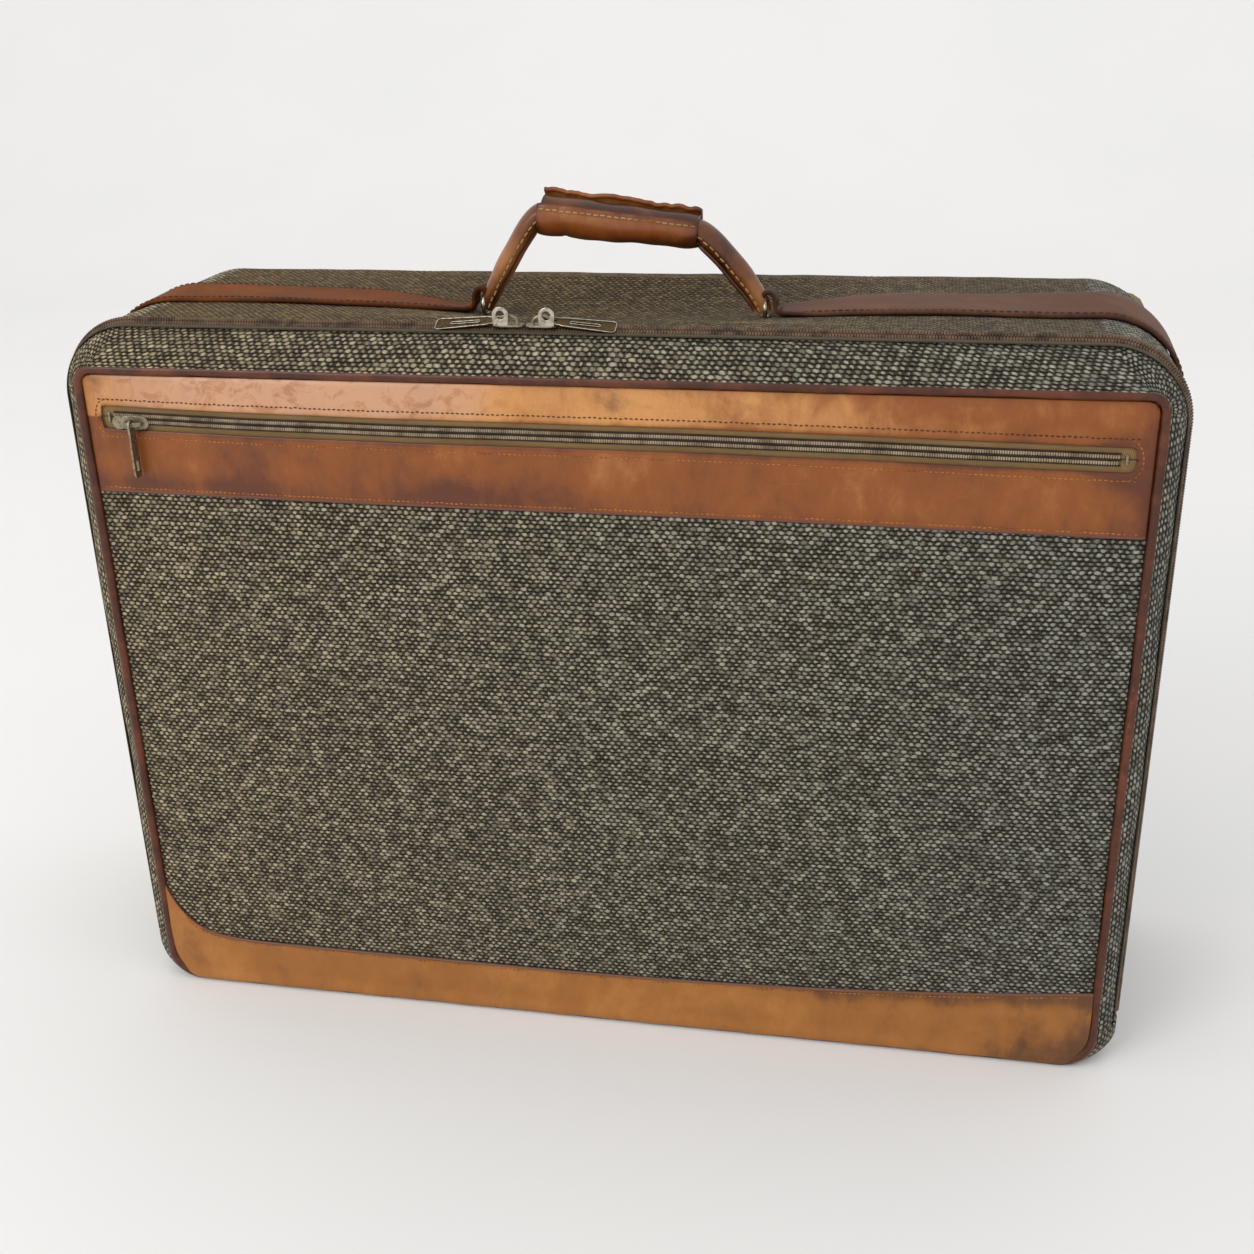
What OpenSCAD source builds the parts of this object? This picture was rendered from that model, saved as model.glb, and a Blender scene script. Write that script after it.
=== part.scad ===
// Softside suitcase: tweed and leather over a hooped frame. It stands on its long narrow side
// with the front panel facing -Y. A zip runs round the top and both sides, and the whole front
// hinges open on its bottom welt.
// Origin: on the floor, under the centre of the case. Millimetres.

/* [Case] */
// Width of the body over its gussets
case_w = 660; // [560:10:700]
// Height of the body, from the floor to its top edge
case_h = 468; // [420:2:500]
// Depth from the front leather to the back welt
case_d = 185; // [165:1:230]
// Radius of the body's top corners
top_r = 47; // [35:1:60]
// Radius of the body's bottom corners
bottom_r = 24; // [20:1:30]
// How far the soft top sags between the two hoops
sag_depth = 12.5; // [6:0.5:14]

/* [Front panel] */
// Width of the front panel between the centres of its welt
panel_w = 630; // [530:10:660]
// Height of the centre of the top welt
panel_top = 441; // [400:1:470]
// Depth of the sloping strip between the front panel and the main zip
lid_depth = 16; // [14:1:24]
// Height of the bottom edge of the top leather band
band_low = 362; // [330:1:380]
// Height of the bottom leather band at its middle
base_band_h = 38; // [30:1:50]
// How much higher the bottom leather band is at its two ends
base_band_rise = 18; // [8:1:24]
// Radius of the round welts
welt_r = 3; // [2.5:0.1:3.5]

/* [Pocket zip] */
// Half the length of the slot for the pocket zip
slot_half = 302; // [240:1:302]
// Height of the pocket zip's centre line
slot_z = 409; // [395:1:420]
// Height of the slot itself
slot_h = 14; // [12:0.5:18]

/* [Zip parts] */
// Length of a slider's body
slider_l = 19; // [17:0.5:22]
// Width of a slider's body
slider_w = 9; // [8:0.5:9]
// Length of a pull tab on the main zip
main_pull_l = 38; // [30:1:42]
// Length of the pull tab on the pocket zip
pocket_pull_l = 33; // [26:1:36]
// Where along the top the two main sliders meet
meet_x = -38; // [-60:1:60]
// Radius of the hole in each lock eye
lock_eye_r = 1.9; // [1.5:0.1:2.2]

/* [Handle and straps] */
// Distance between the two handle rings
ring_span = 168; // [150:1:190]
// Where the middle of the handle is
handle_x = 4.5; // [-10:1:10]
// Height of the handle's pivot above the floor
pivot_z = 468; // [467.5:0.1:470]
// Height of the grip's centre above the pivot
grip_rise = 48; // [40:1:60]
// Length of the grip
grip_l = 97; // [95:1:115]
// Outer radius of the grip
grip_r = 13.5; // [12:0.5:15]
// How many degrees the worn grip sits off level
grip_tilt = 5.8; // [0:0.1:6]
// Width of the top and side straps
strap_w = 46; // [34:1:48]
// Height at which the side straps end
strap_end_z = 60; // [40:5:120]

/* [Hidden] */
$fn = 64;
eps = 0.01;

// How far the pocket pull stands out in front of the leather
pull_out = 10.4;
front_y = -(case_d - pull_out) / 2;
back_y = front_y + case_d;
zip_y = front_y + lid_depth;
// The lid turns about the centre of the bottom welt
welt_y = front_y + 1.5;
hinge_z = welt_r;
half_w = case_w / 2;
// The flat part of the top ends where its corners start
flat_half = half_w - top_r;
strap_y = front_y + 92;
// Length over which a strap narrows to its ring
taper_l = 75;

// Layers of the body, as depths in from its outer face
cloth_t = 1.5;
board_in = 1.7;
board_t = 1.8;
hoop_in = 3.7;
hoop_t = 3;
hoop_l = 10;
lining_in = 6.9;
lining_t = 0.8;
front_hoop_y = zip_y + 10;
// Layers of the back, as depths in from its outermost face
back_panel_in = 3.8;
back_board_in = 6.6;
back_board_t = 2.6;
back_lining_in = 7.8;
tie_in = 9.6;
tie_t = 1.6;
rear_hoop_y = back_y - 18;
body_front_y = zip_y + 6;
back_welt_y = back_y - welt_r;

// Layers of the lid, as depths back from the leather's face
leather_t = 2;
tweed_in = 2.05;
padding_in = 3.6;
padding_t = 1.3;
pocket_in = 5;
pocket_t = 0.7;
lid_board_in = 5.8;
lid_board_t = 2;
lid_lining_in = 7.9;
panel_half = panel_w / 2 - welt_r - 0.2;
panel_low = hinge_z + welt_r + 0.2;
panel_high = panel_top - welt_r - 0.2;
panel_top_r = 6;
panel_base_r = 17;
cut_out_h = slot_h + 16;
// How far a cut reaches to either side of the front face
cut_reach = 5;

// Main zip, as depths in from the body's outer face
gusset_low = 29;
zip_low = 33;
tape_in = 1.7;
tape_t = 0.7;
tape_w = 7;
coil_t = 1.6;
coil_w = 2.2;
coil_gap = 1.2;
plate_t = 1.4;
plate_gap = 0.5;
web_t = 0.5;
tape_half = slot_h / 2 + 6;

// Bridge and pull of a slider
bridge_l = 10;
bridge_w = 2.2;
bridge_t = 1.6;
bridge_h = 5.4;
pull_w = 8.4;
pull_head_w = 5.8;
pull_t = 1.4;
pull_bar_r = 0.9;
pull_pivot_h = 1.7;
pull_window_l = 6.6;
pull_window_w = 3.2;
lock_eye_outer = 3.8;
lock_eye_rise = 7.4;
// Half the gap between the noses of the two main sliders
meet_gap = 0.3;
// Distance of a lock eye from the place where the sliders meet
lock_eye_x = 13.5;
lock_eye_t = 1.2;

// Rings and loops of the handle
ring_r = 5.4;
ring_wire_r = 1.4;
loop_r = 5.8;
loop_l = 12;
arm_r = 6.5;
arm_flat = 0.75;
ring_x = [handle_x - ring_span / 2, handle_x + ring_span / 2];
grip_z = pivot_z + grip_rise;
grip_bore_r = 9.3;
core_r = 8.6;
slot_w = 9;

tweed = "#5b574b";
leather = "#a8622c";
dark_leather = "#5a2c20";
tape_colour = "#77684a";
coil_colour = "#4a3528";
metal = "#9b8f76";
steel = "#8d9196";
board_colour = "#3d3a36";
lining_colour = "#8c7a5c";

// Sag of the soft top at a place on it: nothing along the hoops and at the corners, most in the
// middle, and it fades quickly beyond the handle rings
sag_reach = 130;
sag_from = zip_y + 21;
sag_to = back_y - 19;
function across(y) = max(0, sin(180 * (y - sag_from) / (sag_to - sag_from)));
function along(x) = max(0, 1 - pow(x / flat_half, 2)) / (1 + pow(x / sag_reach, 4));
function sag(x, y) = sag_depth * along(x) * across(y);

// ---- Shared shapes ----

// Extrudes an outline drawn in X and Z along Y
module along_y(y0, y1) {
    translate([0, y1, 0]) rotate([90, 0, 0]) linear_extrude(y1 - y0) children();
}

// Upright rectangle with its own radius at the top corners and at the bottom ones
module rounded(half, low, high, r_top, r_low) {
    for (side = [-1, 1]) {
        translate([side * (half - r_top), high - r_top]) circle(r_top);
        translate([side * (half - r_low), low + r_low]) circle(r_low);
    }
    translate([-half + r_top, high - 2 * r_top]) square([2 * (half - r_top), 2 * r_top]);
    translate([-half, low + r_low]) square([2 * half, high - r_top - low - r_low]);
    translate([-half + r_low, low]) square([2 * (half - r_low), 2 * r_low]);
}

// Outline of the body, moved in by a depth
module body_outline(depth) {
    rounded(half_w - depth, depth, case_h - depth, top_r - depth, bottom_r - depth);
}

// Hoop that follows the body's outline between two depths
module hoop(y0, y1, depth, thick) {
    along_y(y0, y1) difference() {
        body_outline(depth);
        body_outline(depth + thick);
    }
}

// Keeps the part of a shape that is above a height
module above(z) {
    intersection() {
        children();
        translate([-case_w, -case_w, z]) cube([2 * case_w, 2 * case_w, case_w]);
    }
}

// Takes the flat top away from a hoop, where the soft sheets take over
module without_top() {
    difference() {
        children();
        translate([-flat_half, -case_d, case_h / 2]) cube([2 * flat_half, 2 * case_d, case_h]);
    }
}

// Tube round a rectangle with round corners, with its centre line at a depth of Y
module welt(half, low, high, r_top, r_low, y) {
    straight_x = [half - r_low, half - r_top];
    for (side = [-1, 1]) {
        translate([side * half, y, low + r_low]) cylinder(r = welt_r, h = high - r_top - low - r_low);
        translate([side * (half - r_top), y, high - r_top]) quarter_tube(r_top, side > 0 ? 0 : 90);
        translate([side * (half - r_low), y, low + r_low]) quarter_tube(r_low, side > 0 ? 270 : 180);
    }
    for (k = [0, 1])
        translate([-straight_x[k], y, k == 0 ? low : high]) rotate([0, 90, 0])
            cylinder(r = welt_r, h = 2 * straight_x[k]);
}

// Quarter of a torus in the XZ plane, starting at an angle
module quarter_tube(r, start) {
    rotate([90, 0, 0]) rotate([0, 0, start])
        rotate_extrude(angle = 90) translate([r, 0]) circle(welt_r);
}

// Soft sheet that follows the sag of the top. Its upper face is a rise above the top's outer face.
// It can taper to a part of its width near one of its ends
module draped(x0, x1, y0, y1, rise, thick, nx, ny, taper_x = 0, taper_to = 1) {
    row = ny + 1;
    count = (nx + 1) * row;
    function px(i) = x0 + (x1 - x0) * i / nx;
    function spread(x) = 1 - (1 - taper_to) * max(0, 1 - abs(x - taper_x) / taper_l);
    function py(i, j) = (y0 + y1) / 2 + (y1 - y0) * (j / ny - 0.5) * spread(px(i));
    function at(i, j) = i * row + j;
    points = [for (k = [0, 1]) for (i = [0:nx]) for (j = [0:ny])
        [px(i), py(i, j), case_h + rise - k * thick - sag(px(i), py(i, j))]];
    quads = [for (i = [0:nx - 1]) for (j = [0:ny - 1]) [at(i, j), at(i, j + 1), at(i + 1, j + 1), at(i + 1, j)]];
    upper = [for (q = quads) for (t = [[0, 1, 2], [0, 2, 3]]) [for (k = t) q[k]]];
    lower = [for (t = upper) [count + t[2], count + t[1], count + t[0]]];
    ends_y = [for (i = [0:nx - 1]) each [
        [count + at(i, 0), at(i, 0), at(i + 1, 0), count + at(i + 1, 0)],
        [count + at(i + 1, ny), at(i + 1, ny), at(i, ny), count + at(i, ny)]]];
    ends_x = [for (j = [0:ny - 1]) each [
        [count + at(0, j + 1), at(0, j + 1), at(0, j), count + at(0, j)],
        [count + at(nx, j), at(nx, j), at(nx, j + 1), count + at(nx, j + 1)]]];
    polyhedron(points, concat(upper, lower, ends_y, ends_x), convexity = 4);
}

// Sloping shell from the front welt to the main zip, open at the front and at the back
bevel_from = welt_y + welt_r + 0.4;
bevel_to = zip_y - 4.5;
module bevel() {
    edge = 0.5;
    difference() {
        bevel_solid(0, bevel_from, bevel_to - edge, edge);
        bevel_solid(cloth_t, bevel_from + cloth_t, bevel_to - edge + 1, 2 * edge);
        along_y(bevel_from - 1, bevel_to)
            rounded(panel_half + 0.4, panel_low - 1.6, panel_high + 0.4, panel_top_r, panel_base_r);
    }
}
module bevel_solid(depth, y0, y1, edge) {
    $fn = 40;
    hull() {
        along_y(y0, y0 + edge)
            rounded(panel_w / 2 + 2 - depth, depth, panel_top + 4 - depth, 12, bottom_r - depth);
        along_y(y1, y1 + edge) body_outline(depth);
    }
}

// ---- Body ----

module body_gusset() color(tweed) {
    without_top() hoop(body_front_y, back_welt_y - welt_r - 0.2, 0, cloth_t);
}

module top_gusset() color(tweed) {
    draped(-flat_half + eps, flat_half - eps, body_front_y, back_welt_y - welt_r - 0.2, 0, cloth_t, 28, 10);
}

// Strip of the bottom gusset that folds when the lid opens
module hinge_gusset() color(tweed) {
    difference() {
        bevel();
        translate([-case_w, -case_w, gusset_low - 1]) cube([2 * case_w, 2 * case_w, case_w]);
    }
    difference() {
        hoop(bevel_to, body_front_y - eps, 0, cloth_t);
        translate([-case_w, -case_w, gusset_low - 1]) cube([2 * case_w, 2 * case_w, case_w]);
    }
}

module side_board() color(board_colour) {
    difference() {
        hoop(body_front_y + 2, back_welt_y - welt_r - 0.5, board_in, board_t);
        translate([-case_w, -case_w, case_h - top_r]) cube([2 * case_w, 2 * case_w, case_w]);
    }
}

module front_hoop() color(steel) hoop(front_hoop_y, front_hoop_y + hoop_l, hoop_in, hoop_t);

module rear_hoop() color(steel) hoop(rear_hoop_y, rear_hoop_y + hoop_l, hoop_in, hoop_t);

module back_board() color(board_colour) {
    along_y(back_y - back_board_in, back_y - back_board_in + back_board_t) body_outline(lining_in + lining_t + 0.1);
}

module back_panel() color(tweed) {
    along_y(back_y - back_panel_in, back_y - back_panel_in + cloth_t) body_outline(2 * welt_r + 0.2);
}

module back_welt() color(dark_leather) {
    welt(half_w - welt_r, welt_r, case_h - welt_r, top_r - welt_r, bottom_r - welt_r, back_welt_y);
}

module body_lining() color(lining_colour) {
    without_top() hoop(front_hoop_y, back_y - 8, lining_in, lining_t);
    along_y(back_y - back_lining_in, back_y - back_lining_in + lining_t) difference() {
        body_outline(lining_in);
        translate([-case_w, case_h - 30]) square([2 * case_w, 60]);
    }
}

module top_lining() color(lining_colour) {
    draped(-flat_half + 1, flat_half - 1, front_hoop_y, back_y - 9, -lining_in, lining_t, 20, 8);
}

// Thin fibre strip under the top that spreads the handle's load
module top_stiffener() color(board_colour) {
    draped(-230, 230, strap_y - 20, strap_y + 20, -cloth_t - 0.3, 1.6, 20, 4);
}

// Leather strap from a handle ring out along the top, round the corner and down the side
module strap(side, x_inner) color(leather) {
    strap_t = 3;
    lift = 0.1;
    x_outer = side * flat_half;
    y0 = strap_y - strap_w / 2;
    draped(min(x_inner, x_outer), max(x_inner, x_outer), y0, y0 + strap_w, strap_t + lift, strap_t,
        14, 4, x_inner, 0.45);
    intersection() {
        hoop(y0, y0 + strap_w, -strap_t - lift, strap_t);
        translate([side > 0 ? flat_half : -case_w, -case_w, strap_end_z])
            cube([case_w - flat_half, 2 * case_w, case_w]);
    }
}
module strap_left() strap(-1, ring_x[0] - loop_l - 2);
module strap_right() strap(1, ring_x[1] + loop_l + 2);

module body_zip_tape() color(tape_colour) {
    above(zip_low) hoop(zip_y + coil_gap / 2, zip_y + coil_gap / 2 + tape_w, tape_in, tape_t);
}

module body_zip_coil() color(coil_colour) {
    above(zip_low) hoop(zip_y + coil_gap / 2, zip_y + coil_gap / 2 + coil_w, tape_in - coil_t, coil_t);
}

// Metal stop across both ends of the main zip
module zip_end_stops() color(metal) {
    for (side = [-1, 1])
        translate([side * (half_w - 1) - 1, zip_y - 3.5, zip_low - 3.8]) cube([2, 7, 3.5]);
}

// Packing straps across the inside of the back, and their buckle
tie_z = 230;
tie_w = 25;
tie_buckle_l = 46;
module tie_strap(side) color(dark_leather) {
    x0 = tie_buckle_l / 2 + 0.3;
    x1 = half_w - lining_in - lining_t - 6;
    translate([side > 0 ? x0 : -x1, back_y - tie_in, tie_z]) cube([x1 - x0, tie_t, tie_w]);
}
module tie_strap_left() tie_strap(-1);
module tie_strap_right() tie_strap(1);
module tie_buckle() color(metal) {
    translate([-tie_buckle_l / 2, back_y - 11.5, tie_z - 4]) difference() {
        cube([tie_buckle_l, 3.4, tie_w + 8]);
        translate([6, -1, 4]) cube([14, 6, tie_w]);
        translate([26, -1, 4]) cube([14, 6, tie_w]);
    }
}

// ---- Lid ----

module lid_gusset() color(tweed) above(gusset_low) bevel();

module lid_welt() color(dark_leather) {
    welt(panel_w / 2, hinge_z, panel_top, panel_top_r + welt_r, panel_base_r + welt_r, welt_y);
}

// Flat layer of the front panel
module panel_layer(depth, thick) {
    along_y(front_y + depth, front_y + depth + thick)
        rounded(panel_half, panel_low, panel_high, panel_top_r, panel_base_r);
}

// Cut for the pocket zip, with round ends
module slot(half, height) {
    along_y(front_y - cut_reach, front_y + cut_reach) {
        translate([-half + height / 2, slot_z - height / 2]) square([2 * half - height, height]);
        for (side = [-1, 1]) translate([side * (half - height / 2), slot_z]) circle(height / 2);
    }
}

module lid_board() color(board_colour) panel_layer(lid_board_in, lid_board_t);

// Cut in the layers behind the leather, which leaves room for the tapes
module cut_out() {
    half = slot_half + 6;
    translate([-half, front_y, slot_z - cut_out_h / 2]) cube([2 * half, 5, cut_out_h]);
}

module lid_padding() color("#b9b2a0") difference() {
    panel_layer(padding_in, padding_t);
    cut_out();
}

module front_tweed() color(tweed) difference() {
    panel_layer(tweed_in, cloth_t);
    cut_out();
}

module top_band() color(leather) difference() {
    intersection() {
        panel_layer(0, leather_t);
        translate([-case_w, -case_w, band_low]) cube([2 * case_w, 2 * case_w, case_h]);
    }
    slot(slot_half, slot_h);
}

// Bottom band, whose upper edge is a shallow arc
module base_band() color(leather) {
    arc_r = (pow(panel_half, 2) + pow(base_band_rise, 2)) / (2 * base_band_rise);
    difference() {
        panel_layer(0, leather_t);
        along_y(front_y - 1, front_y + 3) {
            translate([0, base_band_h + arc_r]) circle(arc_r, $fn = 360);
            translate([-case_w, base_band_h + base_band_rise]) square([2 * case_w, case_h]);
        }
    }
}

module lid_lining() color(lining_colour) panel_layer(lid_lining_in, lining_t);

module lid_zip_tape() color(tape_colour) {
    above(zip_low) hoop(bevel_to + 0.2, zip_y - coil_gap / 2, tape_in, tape_t);
}

module lid_zip_coil() color(coil_colour) {
    above(zip_low) hoop(zip_y - coil_gap / 2 - coil_w, zip_y - coil_gap / 2, tape_in - coil_t, coil_t);
}

module pocket_lining() color(lining_colour) panel_layer(pocket_in, pocket_t);

module pocket_tape(side) color(tape_colour) {
    half = slot_half + 4;
    translate([-half, front_y + leather_t + 0.05, slot_z + (side > 0 ? coil_gap / 2 : -tape_half)])
        cube([2 * half, tape_t, tape_half - coil_gap / 2]);
}
module pocket_tape_upper() pocket_tape(1);
module pocket_tape_lower() pocket_tape(-1);

module pocket_coil(side) color(coil_colour) {
    half = slot_half - 6;
    translate([-half, front_y + leather_t - coil_t, slot_z + (side > 0 ? coil_gap / 2 : -coil_gap / 2 - coil_w)])
        cube([2 * half, coil_t, coil_w]);
}
module pocket_coil_upper() pocket_coil(1);
module pocket_coil_lower() pocket_coil(-1);

module pocket_zip_stops() color(metal) {
    for (side = [-1, 1])
        translate([side * (slot_half - 4.4) - 1.2, front_y + leather_t - 1.8, slot_z - 3]) cube([2.4, 1.8, 6]);
}

// ---- Handle ----

// Point of the grip's centre line at a distance along it
// The worn grip sits a little to the left of the middle
grip_off = 1;
function grip_at(s) = [handle_x - grip_off + s * cos(grip_tilt), grip_z - s * sin(grip_tilt)];
// Centre line of an arm, from its ring to the grip's end
function arm_path(side) = let (
    foot = [ring_x[side > 0 ? 1 : 0] - side * 2, pivot_z + 2],
    top = grip_at(side * (grip_l / 2 - 4)))
    [foot, foot + [-side * 9, 15], (foot + top) / 2 + [side * 1, 7], top + [side * 9, -5], top];

module arm(side) {
    path = arm_path(side);
    for (i = [0:3]) hull() for (k = [i, i + 1]) arm_joint(path[k], k == 4 ? core_r : arm_r);
}
module arm_joint(p, r) {
    translate([p[0], strap_y, p[1]]) scale([arm_flat, 1, arm_flat]) sphere(r, $fn = 24);
}

// Rolled leather that runs from ring to ring through the grip
module handle_strap() color(leather) {
    arm(-1);
    arm(1);
    translate([grip_at(0)[0], strap_y, grip_at(0)[1]]) rotate([0, 90 + grip_tilt, 0])
        cylinder(r = core_r, h = grip_l - 6, center = true, $fn = 32);
}

// Leather sleeve of the grip, open along the top
module grip_wrap() color(leather) {
    translate([grip_at(0)[0], strap_y, grip_at(0)[1]]) rotate([0, grip_tilt, 0]) difference() {
        rotate([0, 90, 0]) cylinder(r = grip_r, h = grip_l, center = true);
        rotate([0, 90, 0]) cylinder(r = grip_bore_r, h = grip_l + 2, center = true);
        translate([-grip_l, -slot_w / 2, 0]) cube([2 * grip_l, slot_w, 2 * grip_r]);
    }
}

// Tails of the rolled leather, folded round the rings and sewn back inside the arms
module handle_flaps() color(dark_leather) {
    for (side = [-1, 1]) {
        path = arm_path(side);
        shift = [-side * 7.6, -3];
        hull() for (k = [0, 1, 2]) translate([path[k][0] + shift[0], strap_y, path[k][1] + shift[1]])
            scale([0.3, 1, 0.3]) sphere(arm_r - 1, $fn = 20);
    }
}

// Ring between a strap's end and the handle
module ring(side) color(metal) {
    translate([ring_x[side > 0 ? 1 : 0] + side * 6.6, strap_y, pivot_z]) rotate([0, 90, 0])
        rotate_extrude() translate([ring_r, 0]) circle(ring_wire_r, $fn = 32);
}
module ring_left() ring(-1);
module ring_right() ring(1);

// Round end of a strap, which turns with the ring that it is folded over
module ring_loop(side) color(leather) {
    x0 = ring_x[side > 0 ? 1 : 0] + side * 8.4;
    translate([side > 0 ? x0 : x0 - 5, strap_y, pivot_z]) rotate([0, 90, 0]) cylinder(r = loop_r, h = 5);
}
module ring_loop_left() ring_loop(-1);
module ring_loop_right() ring_loop(1);

// ---- Sliders ----

// Slider lying on a zip that runs along X, with its outer plate's face at z = 0. The coil and
// the tape pass between the two plates, on either side of a thin web
inner_z = -plate_t - plate_gap - coil_t - tape_t - 0.2;
module slider_body() {
    for (z = [-plate_t, inner_z - plate_gap - plate_t])
        translate([-slider_l / 2, -slider_w / 2, z]) slider_plate();
    translate([-slider_l / 4, -web_t / 2, inner_z - plate_gap - eps])
        cube([slider_l / 2, web_t, -inner_z + plate_gap - plate_t + 2 * eps]);
    bridge();
}
module slider_plate() {
    corner = 2.5;
    translate([corner, 0, 0]) cube([slider_l - 2 * corner, slider_w, plate_t]);
    translate([0, corner, 0]) cube([slider_l, slider_w - 2 * corner, plate_t]);
    for (x = [corner, slider_l - corner]) for (y = [corner, slider_w - corner])
        translate([x, y, 0]) cylinder(r = corner, h = plate_t);
}

// Arch that holds the pull
module bridge() {
    translate([0, bridge_w / 2, -eps]) rotate([90, 0, 0]) linear_extrude(bridge_w) difference() {
        translate([-bridge_l / 2, 0]) square([bridge_l, bridge_h]);
        translate([-bridge_l / 2 + bridge_t, -1]) square([bridge_l - 2 * bridge_t, bridge_h - bridge_t + 1]);
    }
}

// Upright plate with a hole for a padlock
module lock_eye() {
    rotate([90, 0, 0]) translate([0, 0, -lock_eye_t]) difference() {
        union() {
            translate([0, lock_eye_rise - 1]) cylinder(r = lock_eye_outer, h = lock_eye_t);
            translate([-lock_eye_outer, 0]) cube([2 * lock_eye_outer, lock_eye_rise - 1, lock_eye_t]);
        }
        translate([0, lock_eye_rise - 1, -1]) cylinder(r = lock_eye_r, h = lock_eye_t + 2);
    }
}

// Flat pull tab that points along +X from its pivot bar. Its head is narrow, to pass the lock eye
module flat_pull(length) {
    head_l = pull_window_l + 2.4;
    difference() {
        union() {
            translate([0, -pull_head_w / 2, -pull_t / 2]) cube([head_l, pull_head_w, pull_t]);
            translate([head_l, -pull_w / 2, -pull_t / 2]) cube([length - head_l, pull_w, pull_t]);
            rotate([90, 0, 0]) cylinder(r = pull_bar_r, h = pull_head_w, center = true, $fn = 32);
        }
        translate([pull_bar_r, -pull_window_w / 2, -2]) cube([pull_window_l - pull_bar_r, pull_window_w, 4]);
        translate([length * 0.42, -0.9, -2]) cube([length * 0.36, 1.8, 4]);
    }
}

// The outer plates of the main sliders stand just clear of the coil
top_plate_z = case_h + coil_t - tape_in + plate_gap + plate_t;
slider_x = [meet_x - slider_l / 2 - meet_gap, meet_x + slider_l / 2 + meet_gap];
pull_pivot_x = 2.2;

module main_slider(side) color(metal) {
    translate([slider_x[side > 0 ? 1 : 0], zip_y, top_plate_z]) mirror([side > 0 ? 0 : 1, 0, 0]) {
        slider_body();
        translate([lock_eye_x - slider_l / 2 - meet_gap, -slider_w / 2, -0.5]) lock_eye();
    }
}
module main_pull(side) color(metal) {
    translate([slider_x[side > 0 ? 1 : 0] + side * pull_pivot_x, zip_y, top_plate_z + pull_pivot_h])
        mirror([side > 0 ? 0 : 1, 0, 0]) rotate([0, 1.2, 0]) flat_pull(main_pull_l);
}
module slider_left() main_slider(-1);
module slider_right() main_slider(1);
module pull_left() main_pull(-1);
module pull_right() main_pull(1);

// Pocket slider: the same slider, turned to face the front
pocket_plate_y = front_y + leather_t - coil_t - plate_gap - plate_t;
pocket_slider_x = -slot_half + slider_l / 2 + 12;
module pocket_slider() color(metal) {
    translate([pocket_slider_x, pocket_plate_y, slot_z]) rotate([90, 0, 0]) slider_body();
}

// Pocket pull: it hangs on the bridge by a round eye, edge on to the front
pocket_pivot_y = pocket_plate_y - bridge_h + bridge_t / 2;
pocket_eye_r = 1.95;
pocket_pull_w = 8;
module pocket_pull() color(metal) {
    translate([pocket_slider_x - pull_t / 2, pocket_pivot_y, slot_z]) difference() {
        union() {
            rotate([0, 90, 0]) cylinder(r = pocket_pull_w / 2, h = pull_t);
            translate([0, -pocket_pull_w / 2, -pocket_pull_l]) cube([pull_t, pocket_pull_w, pocket_pull_l]);
        }
        translate([-1, 0, 0]) rotate([0, 90, 0]) cylinder(r = pocket_eye_r, h = pull_t + 2);
    }
}

body_gusset();
top_gusset();
hinge_gusset();
side_board();
front_hoop();
rear_hoop();
back_board();
back_panel();
back_welt();
body_lining();
top_lining();
top_stiffener();
strap_left();
strap_right();
body_zip_tape();
body_zip_coil();
zip_end_stops();
tie_strap_left();
tie_strap_right();
tie_buckle();
lid_gusset();
lid_welt();
lid_board();
lid_padding();
front_tweed();
top_band();
base_band();
lid_lining();
lid_zip_tape();
lid_zip_coil();
pocket_lining();
pocket_tape_upper();
pocket_tape_lower();
pocket_coil_upper();
pocket_coil_lower();
pocket_zip_stops();
handle_strap();
grip_wrap();
handle_flaps();
ring_left();
ring_right();
ring_loop_left();
ring_loop_right();
slider_left();
pull_left();
slider_right();
pull_right();
pocket_slider();
pocket_pull();
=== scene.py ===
"""Softside tweed suitcase with leather trim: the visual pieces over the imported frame.

Lengths are in millimetres until make() and plate() turn them into metres.
"""
import math
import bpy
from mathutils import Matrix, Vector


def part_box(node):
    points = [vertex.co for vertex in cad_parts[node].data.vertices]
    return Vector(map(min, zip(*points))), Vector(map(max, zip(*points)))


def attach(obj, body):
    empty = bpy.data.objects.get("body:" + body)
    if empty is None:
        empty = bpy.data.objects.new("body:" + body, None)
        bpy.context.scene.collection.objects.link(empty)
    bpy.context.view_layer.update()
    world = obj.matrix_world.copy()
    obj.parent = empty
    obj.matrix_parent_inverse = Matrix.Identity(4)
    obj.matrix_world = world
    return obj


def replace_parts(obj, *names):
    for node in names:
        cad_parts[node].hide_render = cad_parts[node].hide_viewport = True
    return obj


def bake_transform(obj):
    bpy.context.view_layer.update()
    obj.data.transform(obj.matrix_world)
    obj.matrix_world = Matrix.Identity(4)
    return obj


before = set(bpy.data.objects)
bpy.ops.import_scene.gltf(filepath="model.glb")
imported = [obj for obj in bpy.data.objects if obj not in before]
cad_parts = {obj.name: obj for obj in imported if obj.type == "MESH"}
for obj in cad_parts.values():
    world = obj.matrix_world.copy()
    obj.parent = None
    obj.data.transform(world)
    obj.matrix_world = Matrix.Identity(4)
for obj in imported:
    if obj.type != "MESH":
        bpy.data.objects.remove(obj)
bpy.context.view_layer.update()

import bmesh
import bpy
import numpy as np
from mathutils import Matrix, Vector

MM = 0.001
npr = np.random.RandomState(5)
scene = bpy.context.scene
scene.view_settings.view_transform = "Standard"

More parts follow.
